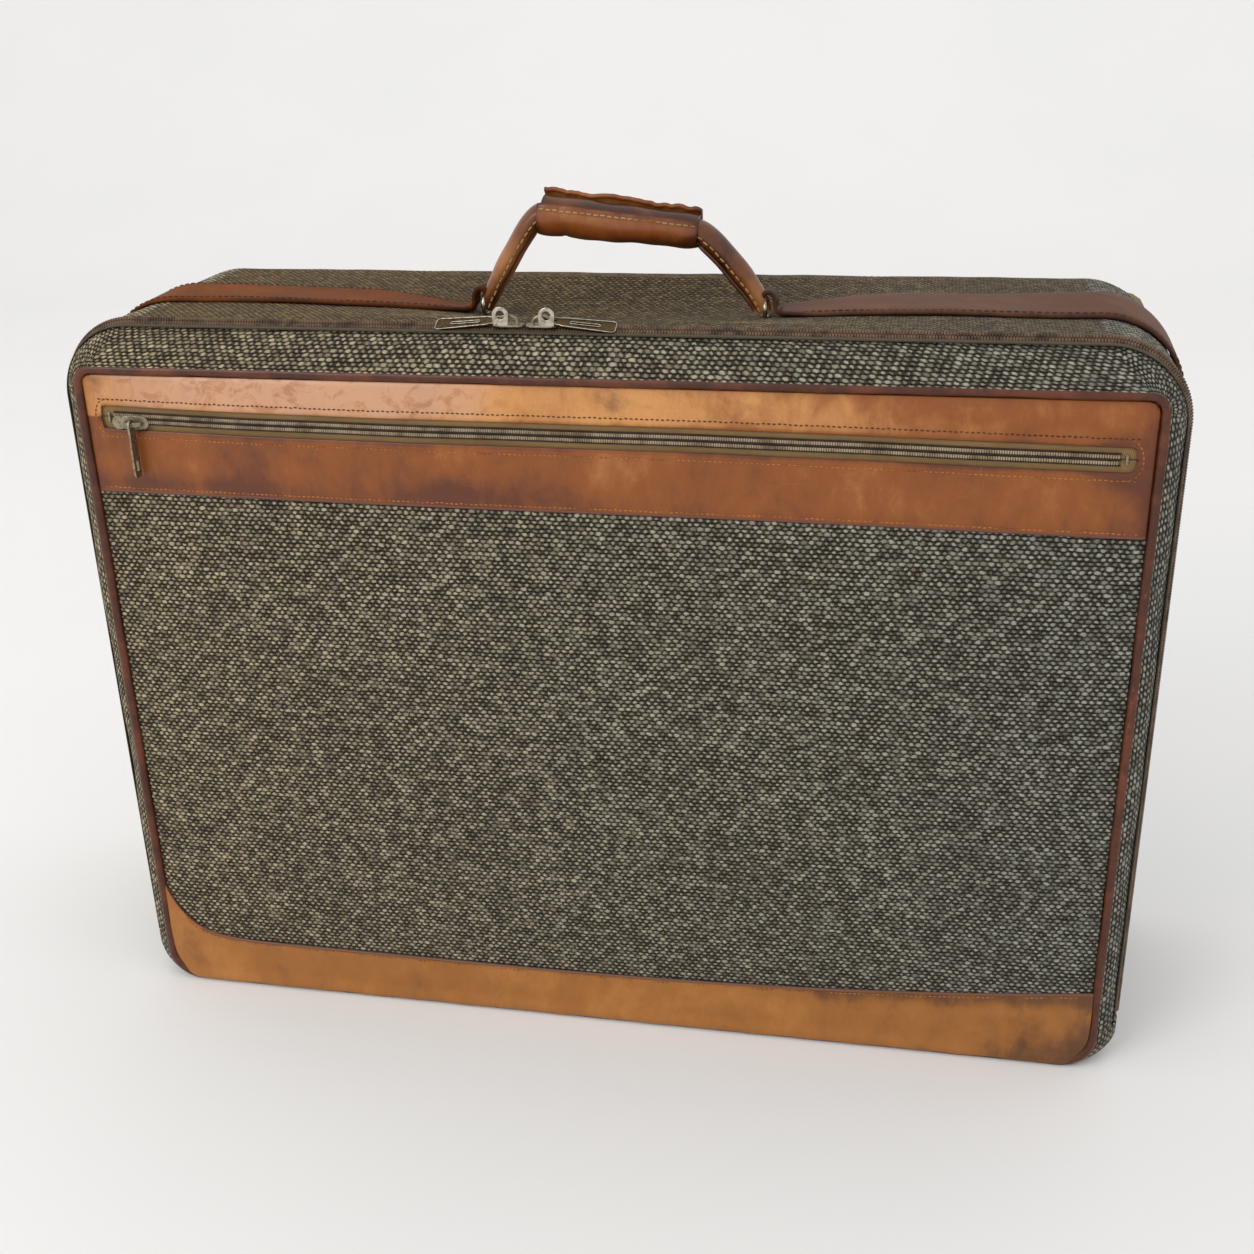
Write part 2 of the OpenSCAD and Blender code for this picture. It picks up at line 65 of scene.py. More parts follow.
# ---- Sizes, the same as the frame's ----
CASE_W, CASE_H, CASE_D = 660.0, 468.0, 185.0
HALF, TOP_R, LOW_R = CASE_W / 2, 47.0, 24.0
FLAT = HALF - TOP_R
FRONT_Y = -87.3
BACK_Y = FRONT_Y + CASE_D
ZIP_Y = FRONT_Y + 16
WELT_R = 3.0
WELT_Y = FRONT_Y + 1.5
WELT_HALF, WELT_LOW, WELT_HIGH = 315.0, 3.0, 441.0
WELT_TOP_R, WELT_LOW_R = 9.0, 20.0
PANEL_HALF, PANEL_HIGH = 311.8, 437.8
BODY_FRONT_Y = ZIP_Y + 4.6
BEVEL_TO = ZIP_Y - 3.5
BACK_WELT_Y = BACK_Y - WELT_R
BODY_BACK_Y = BACK_WELT_Y - WELT_R - 0.2
BAND_LOW = 362.0
SLOT_HALF, SLOT_Z, SLOT_H = 302.0, 409.0, 14.0
GUSSET_LOW, ZIP_LOW = 29.0, 33.0
SAG_DEPTH, SAG_REACH = 12.5, 130.0
SAG_FROM, SAG_TO = ZIP_Y + 21, BACK_Y - 19
STRAP_Y, STRAP_W, STRAP_END_Z, TAPER_L = 4.7, 46.0, 60.0, 75.0
RING_X = (-79.5, 88.5)
PIVOT_Z = 468.0
GRIP = np.array([3.5, STRAP_Y, 516.0])
GRIP_TILT = math.radians(5.8)
GRIP_L, GRIP_R = 97.0, 13.5
MEET_X = -38.0
TOP_PLATE_Z = 469.8
SLIDER_X = (-47.8, -28.2)
PULL_PIVOT_X, PULL_PIVOT_Z = 2.2, 471.5
POCKET_PLATE_Y, POCKET_SLIDER_X, POCKET_PIVOT_Y = -88.8, -280.5, -93.4
WARP, WEFT = 2.15, 2.65
FLOAT_REACH = 1.276
HEM = 1.8
LINING_HALF, LINING_LOW, LINING_HIGH, LINING_LOW_R = 322.9, 7.1, 460.9, 17.0
FOAM_HALF, FOAM_LOW, FOAM_H = 310.5, 8.0, 428.0
TIE_START, TIE_L, TIE_Y, TIE_Z = 23.3, 292.5, 86.2, 242.5
SLEEVE_FROM, SLEEVE_TO = 150.0, 432.0
MAIN_PITCH, POCKET_PITCH = 1.7, 1.35
POCKET_CHAIN_HALF = SLOT_HALF - 8
PULL_L, PULL_DIP, PULL_TURN = 41.0, math.radians(5.0), math.radians(26.0)
SIDES = ((-1, "left"), (1, "right"))

# ---- Mesh helpers ----


def make(name, points, faces, material, uv=None, tone=None):
    """Mesh object from points and cloth coordinates in millimetres, with a tone for each point."""
    mesh = bpy.data.meshes.new(name)
    points = np.asarray(points, float).reshape(-1, 3) * MM
    mesh.from_pydata(points.tolist(), [], [list(map(int, f)) for f in faces])
    if uv is not None:
        layer = mesh.uv_layers.new(name="cloth")
        index = np.empty(len(mesh.loops), np.int32)
        mesh.loops.foreach_get("vertex_index", index)
        layer.data.foreach_set("uv", np.asarray(uv, np.float32).reshape(-1, 2)[index].ravel())
    values = np.full(len(mesh.vertices), 0.5) if tone is None else np.asarray(tone, float).ravel()
    mesh.attributes.new("tone", "FLOAT", "POINT").data.foreach_set("value", values.astype(np.float32))
    mesh.polygons.foreach_set("use_smooth", [True] * len(mesh.polygons))
    mesh.materials.append(material)
    mesh.update()
    obj = bpy.data.objects.new(name, mesh)
    scene.collection.objects.link(obj)
    return obj


def grid_faces(n, m, loop_n=False, loop_m=False):
    """Quads of an n by m grid of points, joined round where a direction is a loop."""
    a = np.arange(n if loop_n else n - 1)
    b = np.arange(m if loop_m else m - 1)
    i, j = net(a, b)
    i, j = i.ravel(), j.ravel()
    k, l = (i + 1) % n, (j + 1) % m
    return np.stack([i * m + j, k * m + j, k * m + l, i * m + l], 1)


def grid(name, points, material, uv=None, tone=None, loop_n=False, flip=False):
    faces = grid_faces(*points.shape[:2], loop_n)
    if flip:
        faces = faces[:, ::-1]
    return make(name, points, faces, material, uv, tone)


def thicken(obj, amount, offset=-1.0):
    """Turns a sheet into a closed one; a negative offset grows it away from its normals."""
    solid = obj.modifiers.new("thickness", "SOLIDIFY")
    solid.thickness, solid.offset = amount * MM, offset
    return obj


def apply_modifiers(obj):
    graph = bpy.context.evaluated_depsgraph_get()
    mesh = bpy.data.meshes.new_from_object(obj.evaluated_get(graph))
    obj.modifiers.clear()
    obj.data = mesh
    return obj


def clamp(v):
    return np.clip(v, 0, 1)


def bell(v, middle, width):
    """1 at the middle, falling to nothing over about two widths."""
    return np.exp(-((v - middle) / width) ** 2)


def spot(x, x_reach, z, z_reach):
    return np.exp(-(x / x_reach) ** 2 - (z / z_reach) ** 2)


def net(a, b):
    """Two axes as a grid, the first one along the rows."""
    return np.meshgrid(a, b, indexing="ij")


def stacked(*parts):
    """Coordinates of matching shapes as the last axis of one array."""
    return np.stack(np.broadcast_arrays(*parts), -1)


def distance_along(p):
    """Distance from the first point of a path to each of its points."""
    return np.concatenate([[0], np.cumsum(np.linalg.norm(np.diff(p, axis=0), axis=1))])


def unit(v):
    v = np.asarray(v, float)
    return v / np.maximum(np.linalg.norm(v, axis=-1, keepdims=True), 1e-9)


def smooth_path(points, n):
    """n points evenly spaced along a Catmull-Rom curve."""
    p = np.asarray(points, float)
    p = np.vstack([2 * p[0] - p[1], p, 2 * p[-1] - p[-2]])
    out = []
    for k in range(1, len(p) - 2):
        for t in np.linspace(0, 1, 24, endpoint=False):
            out.append(0.5 * (2 * p[k] + (p[k + 1] - p[k - 1]) * t
                              + (2 * p[k - 1] - 5 * p[k] + 4 * p[k + 1] - p[k + 2]) * t * t
                              + (3 * p[k] - p[k - 1] - 3 * p[k + 1] + p[k + 2]) * t ** 3))
    out.append(p[-2])
    return resample(np.array(out), n)


def resample(p, n):
    d = distance_along(p)
    t = np.linspace(0, d[-1], n)
    return np.stack([np.interp(t, d, p[:, k]) for k in range(3)], 1)


def length_of(p):
    return float(np.linalg.norm(np.diff(p, axis=0), axis=1).sum())


def frames_along(path, side, closed=False):
    """Tangent, side and up for each point of a path; side is kept as near as it can be to the one given."""
    if closed:
        t = unit(np.roll(path, -1, 0) - np.roll(path, 1, 0))
    else:
        t = unit(np.gradient(path, axis=0))
    s = np.broadcast_to(np.asarray(side, float), path.shape)
    s = unit(s - (s * t).sum(1, keepdims=True) * t)
    return t, s, np.cross(s, t)


def tube_faces(n, m):
    """Sides and both ends of n rings of m points."""
    ends = [list(range(m))[::-1], [(n - 1) * m + k for k in range(m)]]
    return [list(f) for f in grid_faces(n, m, False, True)] + ends


def sweep(name, path, side, profile, material, scale=1.0, closed=False, tone=None):
    """Profile, an (m, 2) outline in side and up, drawn along a path; scale is one value, (n,) or (n, 2)."""
    path, profile, scale = (np.asarray(v, float) for v in (path, profile, scale))
    _, s, u = frames_along(path, side, closed)
    if scale.ndim < 2:
        scale = np.stack([scale * np.ones(len(path))] * 2, 1)
    pts = (path[:, None, :] + s[:, None, :] * (profile[None, :, 0:1] * scale[:, None, 0:1])
           + u[:, None, :] * (profile[None, :, 1:2] * scale[:, None, 1:2]))
    n, m = pts.shape[:2]
    faces = grid_faces(n, m, True, True) if closed else tube_faces(n, m)
    uv = np.stack(net(distance_along(path), distance_along(profile)), -1)
    values = None if tone is None else np.repeat(np.asarray(tone, float), m)
    return make(name, pts, faces, material, uv, values)


def across_only(wide):
    """Scale for sweep() that leaves the thickness alone."""
    return np.stack([wide, np.ones(len(wide))], 1)


def ring_profile(rx, ry, sides=16):
    a = np.arange(sides) * 2 * math.pi / sides
    return np.stack([rx * np.cos(a), ry * np.sin(a)], 1)


def strip_profile(width, thick, across=8):
    """Flat strip with rounded long edges, its upper face at 0."""
    x = np.linspace(-width / 2 + thick * 0.4, width / 2 - thick * 0.4, across)
    upper = [(v, 0.0) for v in x]
    lower = [(v, -thick) for v in x[::-1]]
    h = width / 2
    return upper + [(h - thick * 0.12, -thick * 0.2), (h, -thick * 0.5),
                    (h - thick * 0.12, -thick * 0.8)] + lower + [
        (-h + thick * 0.12, -thick * 0.8), (-h, -thick * 0.5), (-h + thick * 0.12, -thick * 0.2)]


def scatter(name, part, faces, origins, axes, material):
    """Copies of one small part: origins is (n, 3) and axes (n, 3, 3), the part's X, Y and Z."""
    part = np.asarray(part, float)
    pts = origins[:, None, :] + np.einsum("pk,nkc->npc", part, axes)
    count = len(part)
    every = [[k * count + v for v in f] for k in range(len(origins)) for f in faces]
    return make(name, pts, every, material)


def capsule(length, radius, sides=6, flat=1.0):
    h = length / 2
    stations = [(-h, 0.35), (-h + 0.35 * radius, 0.82), (-h + radius, 1.0), (h - radius, 1.0),
                (h - 0.35 * radius, 0.82), (h, 0.35)]
    pts, faces = [], []
    for x, k in stations:
        for s in range(sides):
            a = 2 * math.pi * s / sides
            pts.append((x, radius * k * math.cos(a), flat * radius * k * math.sin(a)))
    for i in range(len(stations) - 1):
        for s in range(sides):
            q = (s + 1) % sides
            faces.append([i * sides + s, (i + 1) * sides + s, (i + 1) * sides + q, i * sides + q])
    faces.append(list(range(sides)))
    faces.append([(len(stations) - 1) * sides + s for s in range(sides)][::-1])
    return pts, faces


def stitch_run(name, path, normal, material, pitch=4.0, length=2.9, radius=0.42, jitter=0.12, lift=0.15):
    """Saddle stitches along a path, lying on a surface with that normal."""
    path = np.asarray(path, float)
    n = max(2, int(round(length_of(path) / pitch)) + 1)
    p = resample(path, n)
    t = unit(np.gradient(p, axis=0))
    up = np.asarray(normal, float)
    if up.ndim == 1:
        up = np.broadcast_to(up, p.shape)
    else:
        k = np.linspace(0, len(up) - 1, n)
        up = np.stack([np.interp(k, np.arange(len(up)), up[:, c]) for c in range(3)], 1)
    side = unit(np.cross(up, t))
    up = unit(np.cross(t, side))
    wobble = npr.normal(0, jitter, (n, 1))
    origins = p + up * lift + side * wobble
    turn = npr.normal(0, 0.06, (n, 1))
    t2 = unit(t + side * turn)
    axes = np.stack([t2, unit(np.cross(up, t2)), up], 1)
    part, faces = capsule(length, radius, flat=0.8)
    return scatter(name, part, faces, origins, axes, material)


def ride(obj, body, slot, *nodes):
    """Fixes a piece to a body and hides the nodes that it replaces; its material slot is not used."""
    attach(obj, body)
    if nodes:
        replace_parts(obj, *nodes)
    return obj


def sew(body, name, path, normal, thread, *sizes, **more):
    """Row of stitches that moves with a body."""
    return ride(stitch_run(name, path, normal, thread, *sizes, **more), body, "leather_dark")


# ---- Outlines ----


def arc_points(cx, cz, r, a0, a1, n):
    a = np.radians(np.linspace(a0, a1, n))
    return np.stack([cx + r * np.cos(a), cz + r * np.sin(a), np.cos(a), np.sin(a)], 1)


def line_points(p, q, n, normal):
    t = np.linspace(0, 1, n)[:, None]
    xy = np.asarray(p, float) * (1 - t) + np.asarray(q, float) * t
    return np.hstack([xy, np.broadcast_to(np.asarray(normal, float), (n, 2))])


def upper_outline(half, high, r, z_from, n_side, n_arc, n_top):
    """From the left side at a height, over the top and down the right side: x, z and outward normal."""
    parts = [line_points((-half, z_from), (-half, high - r), n_side, (-1, 0)),
             arc_points(-half + r, high - r, r, 180, 90, n_arc)[1:],
             line_points((-half + r, high), (half - r, high), n_top, (0, 1))[1:],
             arc_points(half - r, high - r, r, 90, 0, n_arc)[1:],
             line_points((half, high - r), (half, z_from), n_side, (1, 0))[1:]]
    return np.vstack(parts)


def lower_outline(half, low, r, z_from, n_side, n_arc, n_low):
    parts = [line_points((half, z_from), (half, low + r), n_side, (1, 0)),
             arc_points(half - r, low + r, r, 0, -90, n_arc)[1:],
             line_points((half - r, low), (-half + r, low), n_low, (0, -1))[1:],
             arc_points(-half + r, low + r, r, 270, 180, n_arc)[1:],
             line_points((-half, low + r), (-half, z_from), n_side, (-1, 0))[1:]]
    return np.vstack(parts)


def full_outline(half, low, high, r_top, r_low, step=3.0):
    """Closed outline, evenly enough spaced."""
    z_mid = (low + high) / 2

    def count(length):
        return max(3, int(length / step))

    up = upper_outline(half, high, r_top, z_mid, count(high - r_top - z_mid), max(9, count(r_top * 1.57)),
                       count(2 * (half - r_top)))
    down = lower_outline(half, low, r_low, z_mid, count(z_mid - low - r_low), max(9, count(r_low * 1.57)),
                         count(2 * (half - r_low)))
    return np.vstack([up, down[1:-1]])


ARC_TOP = TOP_R * math.pi / 2
ARC_LOW = LOW_R * math.pi / 2
S1 = FLAT
S2 = S1 + ARC_TOP
S3 = S2 + (CASE_H - TOP_R - LOW_R)
S4 = S3 + ARC_LOW
S5 = S4 + (HALF - LOW_R)


def body_at(s):
    """Outline of the body at a distance from the middle of the top, right side positive: x, z, nx, nz."""
    sign = np.where(s < 0, -1.0, 1.0)
    a = np.abs(s)
    upper, lower = (a - S1) / TOP_R, (a - S3) / LOW_R
    stretch = [a <= S1, a <= S2, a <= S3, a <= S4]
    x = np.select(stretch, [a, FLAT + TOP_R * np.sin(upper), HALF, HALF - LOW_R + LOW_R * np.cos(lower)],
                  HALF - LOW_R - (a - S4))
    z = np.select(stretch, [CASE_H, CASE_H - TOP_R + TOP_R * np.cos(upper), CASE_H - TOP_R - (a - S2),
                            LOW_R - LOW_R * np.sin(lower)], 0.0)
    nx = np.select(stretch, [0.0, np.sin(upper), 1.0, np.cos(lower)], 0.0)
    nz = np.select(stretch, [1.0, np.cos(upper), 0.0, -np.sin(lower)], -1.0)
    return sign * x, z, sign * nx, nz


def outline_normal(outline):
    """Outward normals of an outline as vectors in the frame."""
    return stacked(outline[:, 2], np.zeros(len(outline)), outline[:, 3])


def sag(x, y):
    """How far the soft top hangs below its straight line."""
    across = np.maximum(0, np.sin(np.pi * clamp((y - SAG_FROM) / (SAG_TO - SAG_FROM))))
    along = np.maximum(0, 1 - (x / FLAT) ** 2) / (1 + (x / SAG_REACH) ** 4)
    return SAG_DEPTH * along * across


def slack(s, y):
    """Slight unevenness of the soft walls, none at the seams."""
    hold = np.sin(np.pi * clamp((y - BODY_FRONT_Y) / (BODY_BACK_Y - BODY_FRONT_Y))) ** 0.7
    wave = (np.sin(s / 57.0 + 0.8) * np.sin(y / 41.0 + s / 160.0) + 0.6 * np.sin(s / 23.0 + y / 31.0)
            + 0.5 * np.sin(s / 91.0 - y / 19.0))
    return 0.75 * wave * hold


def skin(s, y, out=0.0):
    """Points on the body's outer face, moved outwards."""
    s, y = np.broadcast_arrays(np.asarray(s, float), np.asarray(y, float))
    x, z, nx, nz = body_at(s)
    low = clamp(z / 60.0)
    lift = out + slack(s, y) * low
    return stacked(x + nx * lift, y, z + nz * lift - np.where(np.abs(s) <= S1, sag(x, y), 0))


def skin_normal(s, y):
    e = 1.0
    a = skin(np.asarray(s) + e, y) - skin(np.asarray(s) - e, y)
    b = skin(s, np.asarray(y) + e) - skin(s, np.asarray(y) - e)
    return unit(np.cross(a, b))


def relief(u, v, amount=1.0):
    """Height of the plain weave: pale weft floats stand highest."""
    c = np.cos(np.pi * u / WARP) * np.cos(np.pi * v / WEFT)
    return amount * np.where(c > 0, 0.42 * c, -0.10 * c)


# ---- Materials ----


def lin(code):
    rgb = [int(code[k:k + 2], 16) / 255 for k in (1, 3, 5)]
    return [c / 12.92 if c <= 0.04045 else ((c + 0.055) / 1.055) ** 2.4 for c in rgb] + [1.0]


class Look:
    """A material's node tree, built from short calls."""

    def __init__(self, name):
        self.material = bpy.data.materials.new(name)
        self.material.use_nodes = True
        self.tree = self.material.node_tree
        self.tree.nodes.clear()
        self.out = self.node("ShaderNodeOutputMaterial")
        self.shader = self.node("ShaderNodeBsdfPrincipled")
        self.link(self.shader.outputs[0], self.out.inputs[0])

    def node(self, kind, **values):
        n = self.tree.nodes.new(kind)
        for k, v in values.items():
            setattr(n, k, v)
        return n

    def link(self, a, b):
        self.tree.links.new(a, b)

    def put(self, socket, value):
        if isinstance(value, bpy.types.NodeSocket):
            self.link(value, socket)
        else:
            socket.default_value = value

    def math(self, op, a, b=0.0, c=0.0):
        n = self.node("ShaderNodeMath", operation=op)
        for socket, value in zip(n.inputs, (a, b, c)):
            self.put(socket, value)
        return n.outputs[0]

    def plus(self, a, b):
        return self.math("ADD", a, b)

    def minus(self, a, b):
        return self.math("SUBTRACT", a, b)

    def times(self, a, b):
        return self.math("MULTIPLY", a, b)

    def over(self, a, b):
        return self.math("DIVIDE", a, b)

    def scaled(self, a, by, add):
        """a times by, plus add."""
        return self.math("MULTIPLY_ADD", a, by, add)

    def centred(self, a, spread):
        """A value from 0 to 1 turned into one spread evenly about 0."""
        return self.scaled(a, spread, -spread / 2)

    def vec(self, op, a, b=(0, 0, 0), scale=1.0):
        n = self.node("ShaderNodeVectorMath", operation=op)
        self.put(n.inputs[0], a)
        if op == "SCALE":
            self.put(n.inputs["Scale"], scale)
        else:
            self.put(n.inputs[1], b)
        return n.outputs[0]

    def step(self, value, low, high, to_low=0.0, to_high=1.0):
        n = self.node("ShaderNodeMapRange", interpolation_type="SMOOTHSTEP")
        for socket, v in zip(n.inputs, (value, low, high, to_low, to_high)):
            self.put(socket, v)
        return n.outputs[0]

    def mix(self, factor, a, b, blend="MIX"):
        n = self.node("ShaderNodeMix", data_type="RGBA", blend_type=blend)
        self.put(n.inputs[0], factor)
        self.put(n.inputs[6], lin(a) if isinstance(a, str) else a)
        self.put(n.inputs[7], lin(b) if isinstance(b, str) else b)
        return n.outputs[2]

    def noise(self, vector, scale, detail=3.0, rough=0.55, distortion=0.0, colour=False):
        n = self.node("ShaderNodeTexNoise")
        self.put(n.inputs["Vector"], vector)
        n.inputs["Scale"].default_value = scale
        n.inputs["Detail"].default_value = detail
        n.inputs["Roughness"].default_value = rough
        n.inputs["Distortion"].default_value = distortion
        return n.outputs[1 if colour else 0]

    def cells(self, vector, scale, feature="F1"):
        n = self.node("ShaderNodeTexVoronoi", feature=feature)
        self.put(n.inputs["Vector"], vector)
        n.inputs["Scale"].default_value = scale
        return n.outputs["Distance"]

    def chance(self, vector):
        n = self.node("ShaderNodeTexWhiteNoise", noise_dimensions="3D")
        self.put(n.inputs["Vector"], vector)
        return n.outputs["Value"]

    def joined(self, x, y, z=0.0):
        n = self.node("ShaderNodeCombineXYZ")
        for socket, v in zip(n.inputs, (x, y, z)):
            self.put(socket, v)
        return n.outputs[0]

    def parts(self, vector):
        n = self.node("ShaderNodeSeparateXYZ")
        self.put(n.inputs[0], vector)
        return n.outputs

    def place(self):
        """Place on the object in millimetres."""
        return self.vec("SCALE", self.node("ShaderNodeTexCoord").outputs["Object"], scale=1000.0)

    def cloth(self):
        return self.node("ShaderNodeUVMap", uv_map="cloth").outputs[0]

    def tone(self):
        return self.node("ShaderNodeAttribute", attribute_name="tone").outputs["Fac"]

    def bump(self, height, strength, distance, normal=None):
        n = self.node("ShaderNodeBump")
        n.inputs["Strength"].default_value = strength
        n.inputs["Distance"].default_value = distance * MM
        self.put(n.inputs["Height"], height)
        if normal is not None:
            self.link(normal, n.inputs["Normal"])
        return n.outputs[0]

    def finish(self, colour, rough, normal=None, **fixed):
        self.put(self.shader.inputs["Base Color"], lin(colour) if isinstance(colour, str) else colour)
        self.put(self.shader.inputs["Roughness"], rough)
        if normal is not None:
            self.link(normal, self.shader.inputs["Normal"])
        for key, value in fixed.items():
            self.shader.inputs[key.replace("_", " ")].default_value = value
        return self.material


def tweed_look(name, warm="#b0a07e", cool="#90938a", gap_shade="#17140f", warp="#453b2b", brightness=1.0,
               contrast=1.0):
    """Plain weave: pale weft dots between dark warp yarns, with painted shade in the gaps between the yarns.
    """
    k = Look(name)
    place = k.cloth()
    wobble = k.vec("SCALE", k.vec("SUBTRACT", k.noise(place, 0.22, 3, 0.7, colour=True), (0.5, 0.5, 0.5)),
                   scale=2.7)
    u, v, _ = k.parts(k.vec("ADD", place, wobble))
    across = k.over(u, WARP)
    down = k.over(v, WEFT)
    row = k.math("ROUND", down)
    odd = k.math("FLOORED_MODULO", row, 2.0)
    sign = k.scaled(odd, -2.0, 1.0)
    swing = k.times(sign, k.math("COSINE", k.times(across, math.pi)))
    body = k.math("COSINE", k.times(k.minus(down, row), math.pi))
    cell = k.math("FLOOR", k.over(k.minus(k.plus(across, 1.0), odd), 2.0))
    each = k.chance(k.joined(cell, row, 3.0))
    other = k.chance(k.joined(cell, row, 8.0))
    lobe = k.times(k.over(k.plus(swing, FLOAT_REACH), 1 + FLOAT_REACH), body)
    fuzz = k.noise(place, 1.5, 3, 0.75)
    lobe = k.plus(lobe, k.centred(fuzz, 0.9))
    # Some floats sit deeper and show less
    lobe = k.plus(lobe, k.centred(other, 0.40))
    dot = k.step(lobe, 0.10, 0.78)
    under = k.step(k.times(k.times(swing, -1.0), body), 0.05, 0.8)
    yarn = k.chance(k.joined(row, 7.0, 1.0))
    patch = k.noise(place, 0.012, 4, 0.65)
    pale = k.mix(k.tone(), warm, cool)
    glow = k.scaled(each, 0.66 * contrast,
                    k.scaled(yarn, 0.06, k.scaled(patch, 0.4, 0.24 + 0.37 * (1 - contrast))))
    glow = k.times(glow, brightness)
    pale = k.mix(1.0, pale, k.joined(glow, glow, glow), "MULTIPLY")
    brown = k.step(k.chance(k.joined(cell, row, 21.0)), 0.80, 0.92)
    pale = k.mix(k.times(brown, 0.3), pale, "#5f4a30")
    # Painted shade in the gaps between the yarns, blended with the warp's own colour where the warp shows
    dark = k.mix(under, gap_shade, k.mix(fuzz, warp, "#2b2318"))
    colour = k.mix(dot, dark, pale)
    height = k.plus(dot, k.scaled(under, 0.35, k.times(fuzz, 0.9)))
    return k.finish(colour, 0.95, k.bump(height, 0.8, 0.4), Specular_IOR_Level=0.2, Sheen_Weight=0.06,
                    Sheen_Roughness=0.5)


def leather_look(name, base, light, dark, edge, gloss=0.36, scratches=0.5, grain=1.0, stains=0.5,
                 painted_highlight=None, shine=0.4):
    """Old vegetable-tanned leather.

    Tone 1 is its lightest colour, 0.5 its base, 0.15 dark and 0 the rubbed,
    turned edge. The pale glossy patch, a painted highlight, is given by its middle and its half sizes in x
    and z.
    """
    k = Look(name)
    place = k.place()
    slow = k.noise(place, 0.012, 4, 0.6, 0.5)
    middle = k.noise(k.vec("MULTIPLY", place, (1.0, 1.0, 0.55)), 0.05, 5, 0.68, 0.3)
    fine = k.noise(place, 0.7, 3, 0.6)
    tone = k.plus(k.tone(), k.centred(slow, 0.8))
    tone = k.plus(tone, k.centred(middle, 0.7))
    colour = k.mix(k.step(tone, 0.10, 0.50), dark, base)
    colour = k.mix(k.step(tone, 0.45, 1.0), colour, light)
    blot = k.step(k.noise(k.vec("ADD", place, (140.0, 20.0, 60.0)), 0.028, 4, 0.6, 0.4), 0.60, 0.76)
    colour = k.mix(k.times(blot, stains), colour, "#4b2620")
    spots = k.step(k.cells(k.vec("ADD", place, k.vec("SCALE", k.noise(place, 0.25, 2, colour=True),
                                                     scale=3.0)), 0.045), 0.16, 0.05)
    colour = k.mix(k.times(spots, 0.35 * stains), colour, dark)
    colour = k.mix(k.times(k.step(fine, 0.5, 0.75), 0.16), colour, dark)
    # Thin light scratches: narrow bands of a stretched, twisted noise
    stretched = k.vec("MULTIPLY", k.vec("ADD", place, k.vec("SCALE", k.noise(place, 0.014, 2, colour=True),
                                                            scale=50.0)), (0.022, 0.09, 0.10))
    line = k.math("ABSOLUTE", k.minus(k.noise(stretched, 1.0, 1, 0.3), 0.5))
    line = k.times(k.step(line, 0.0022, 0.0003), k.step(k.noise(place, 0.022, 2), 0.54, 0.62))
    colour = k.mix(k.times(line, 0.55 * scratches), colour, light)
    colour = k.mix(k.step(k.tone(), 0.08, 0.0), colour, edge)
    rough = k.plus(k.scaled(middle, 0.22, gloss - 0.11), k.times(fine, 0.10))
    # Painted highlight: a pale glossy patch with darker drops in it, where the leather is also a little less
    # rough
    if painted_highlight:
        x, _, z = k.parts(place)
        fx = k.over(k.minus(x, painted_highlight[0]), painted_highlight[2])
        fz = k.over(k.minus(z, painted_highlight[1]), painted_highlight[3])
        far = k.plus(k.math("POWER", k.math("ABSOLUTE", fx), 4.0),
                     k.math("POWER", k.math("ABSOLUTE", fz), 4.0))
        far = k.plus(far, k.centred(k.noise(place, 0.05, 3, 0.6), 1.6))
        patch = k.step(far, 1.7, -0.3)
        drops = k.step(k.noise(k.vec("MULTIPLY", place, (0.7, 1.0, 1.0)), 0.10, 3, 0.75, 0.6), 0.50, 0.64)
        pale = k.mix(k.times(drops, 0.7), "#c3967c", "#9c6349")
        colour = k.mix(k.times(patch, 0.78), colour, pale)
        rough = k.minus(rough, k.times(patch, 0.10))
    pores = k.cells(k.vec("ADD", place, k.vec("SCALE", k.noise(place, 0.5, 1, colour=True), scale=0.8)),
                    0.75)
    coarse = k.bump(k.plus(slow, k.times(middle, 0.5)), 0.4, 1.4)
    height = k.plus(k.times(pores, 0.6), k.minus(k.times(fine, 0.5), line))
    normal = k.bump(height, 0.20 * grain, 0.22, coarse)
    return k.finish(colour, rough, normal, Specular_IOR_Level=shine, Coat_Weight=0.2 * shine,
                    Coat_Roughness=0.3)


def welt_look(name, base, light, dark):
    k = Look(name)
    place = k.place()
    wear = k.noise(place, 0.05, 4, 0.65)
    fine = k.noise(place, 0.8, 3, 0.6)
    colour = k.mix(k.step(wear, 0.35, 0.7), dark, base)
    colour = k.mix(k.times(k.step(k.noise(place, 0.16, 3, 0.7), 0.62, 0.78), 0.45), colour, light)
    cracks = k.cells(place, 0.55, "DISTANCE_TO_EDGE")
    crack = k.step(cracks, 0.06, 0.0)
    colour = k.mix(k.times(crack, 0.35), colour, "#24110b")
    rough = k.scaled(fine, 0.22, 0.24)
    normal = k.bump(k.minus(fine, crack), 0.25, 0.25)
    return k.finish(colour, rough, normal, Specular_IOR_Level=0.32, Coat_Weight=0.10, Coat_Roughness=0.2)


def metal_look(name, base, worn, dark, rough=0.32, metallic=1.0):
    k = Look(name)
    place = k.place()
    patina = k.noise(place, 0.35, 4, 0.65)
    fine = k.noise(k.vec("MULTIPLY", place, (1.0, 1.0, 6.0)), 1.6, 3, 0.6)
    colour = k.mix(k.step(patina, 0.42, 0.66), base, dark)
    colour = k.mix(k.times(k.step(fine, 0.52, 0.7), 0.5), colour, worn)
    roughness = k.scaled(patina, 0.3, rough - 0.1)
    normal = k.bump(k.plus(fine, patina), 0.15, 0.12)
    return k.finish(colour, roughness, normal, Metallic=metallic)


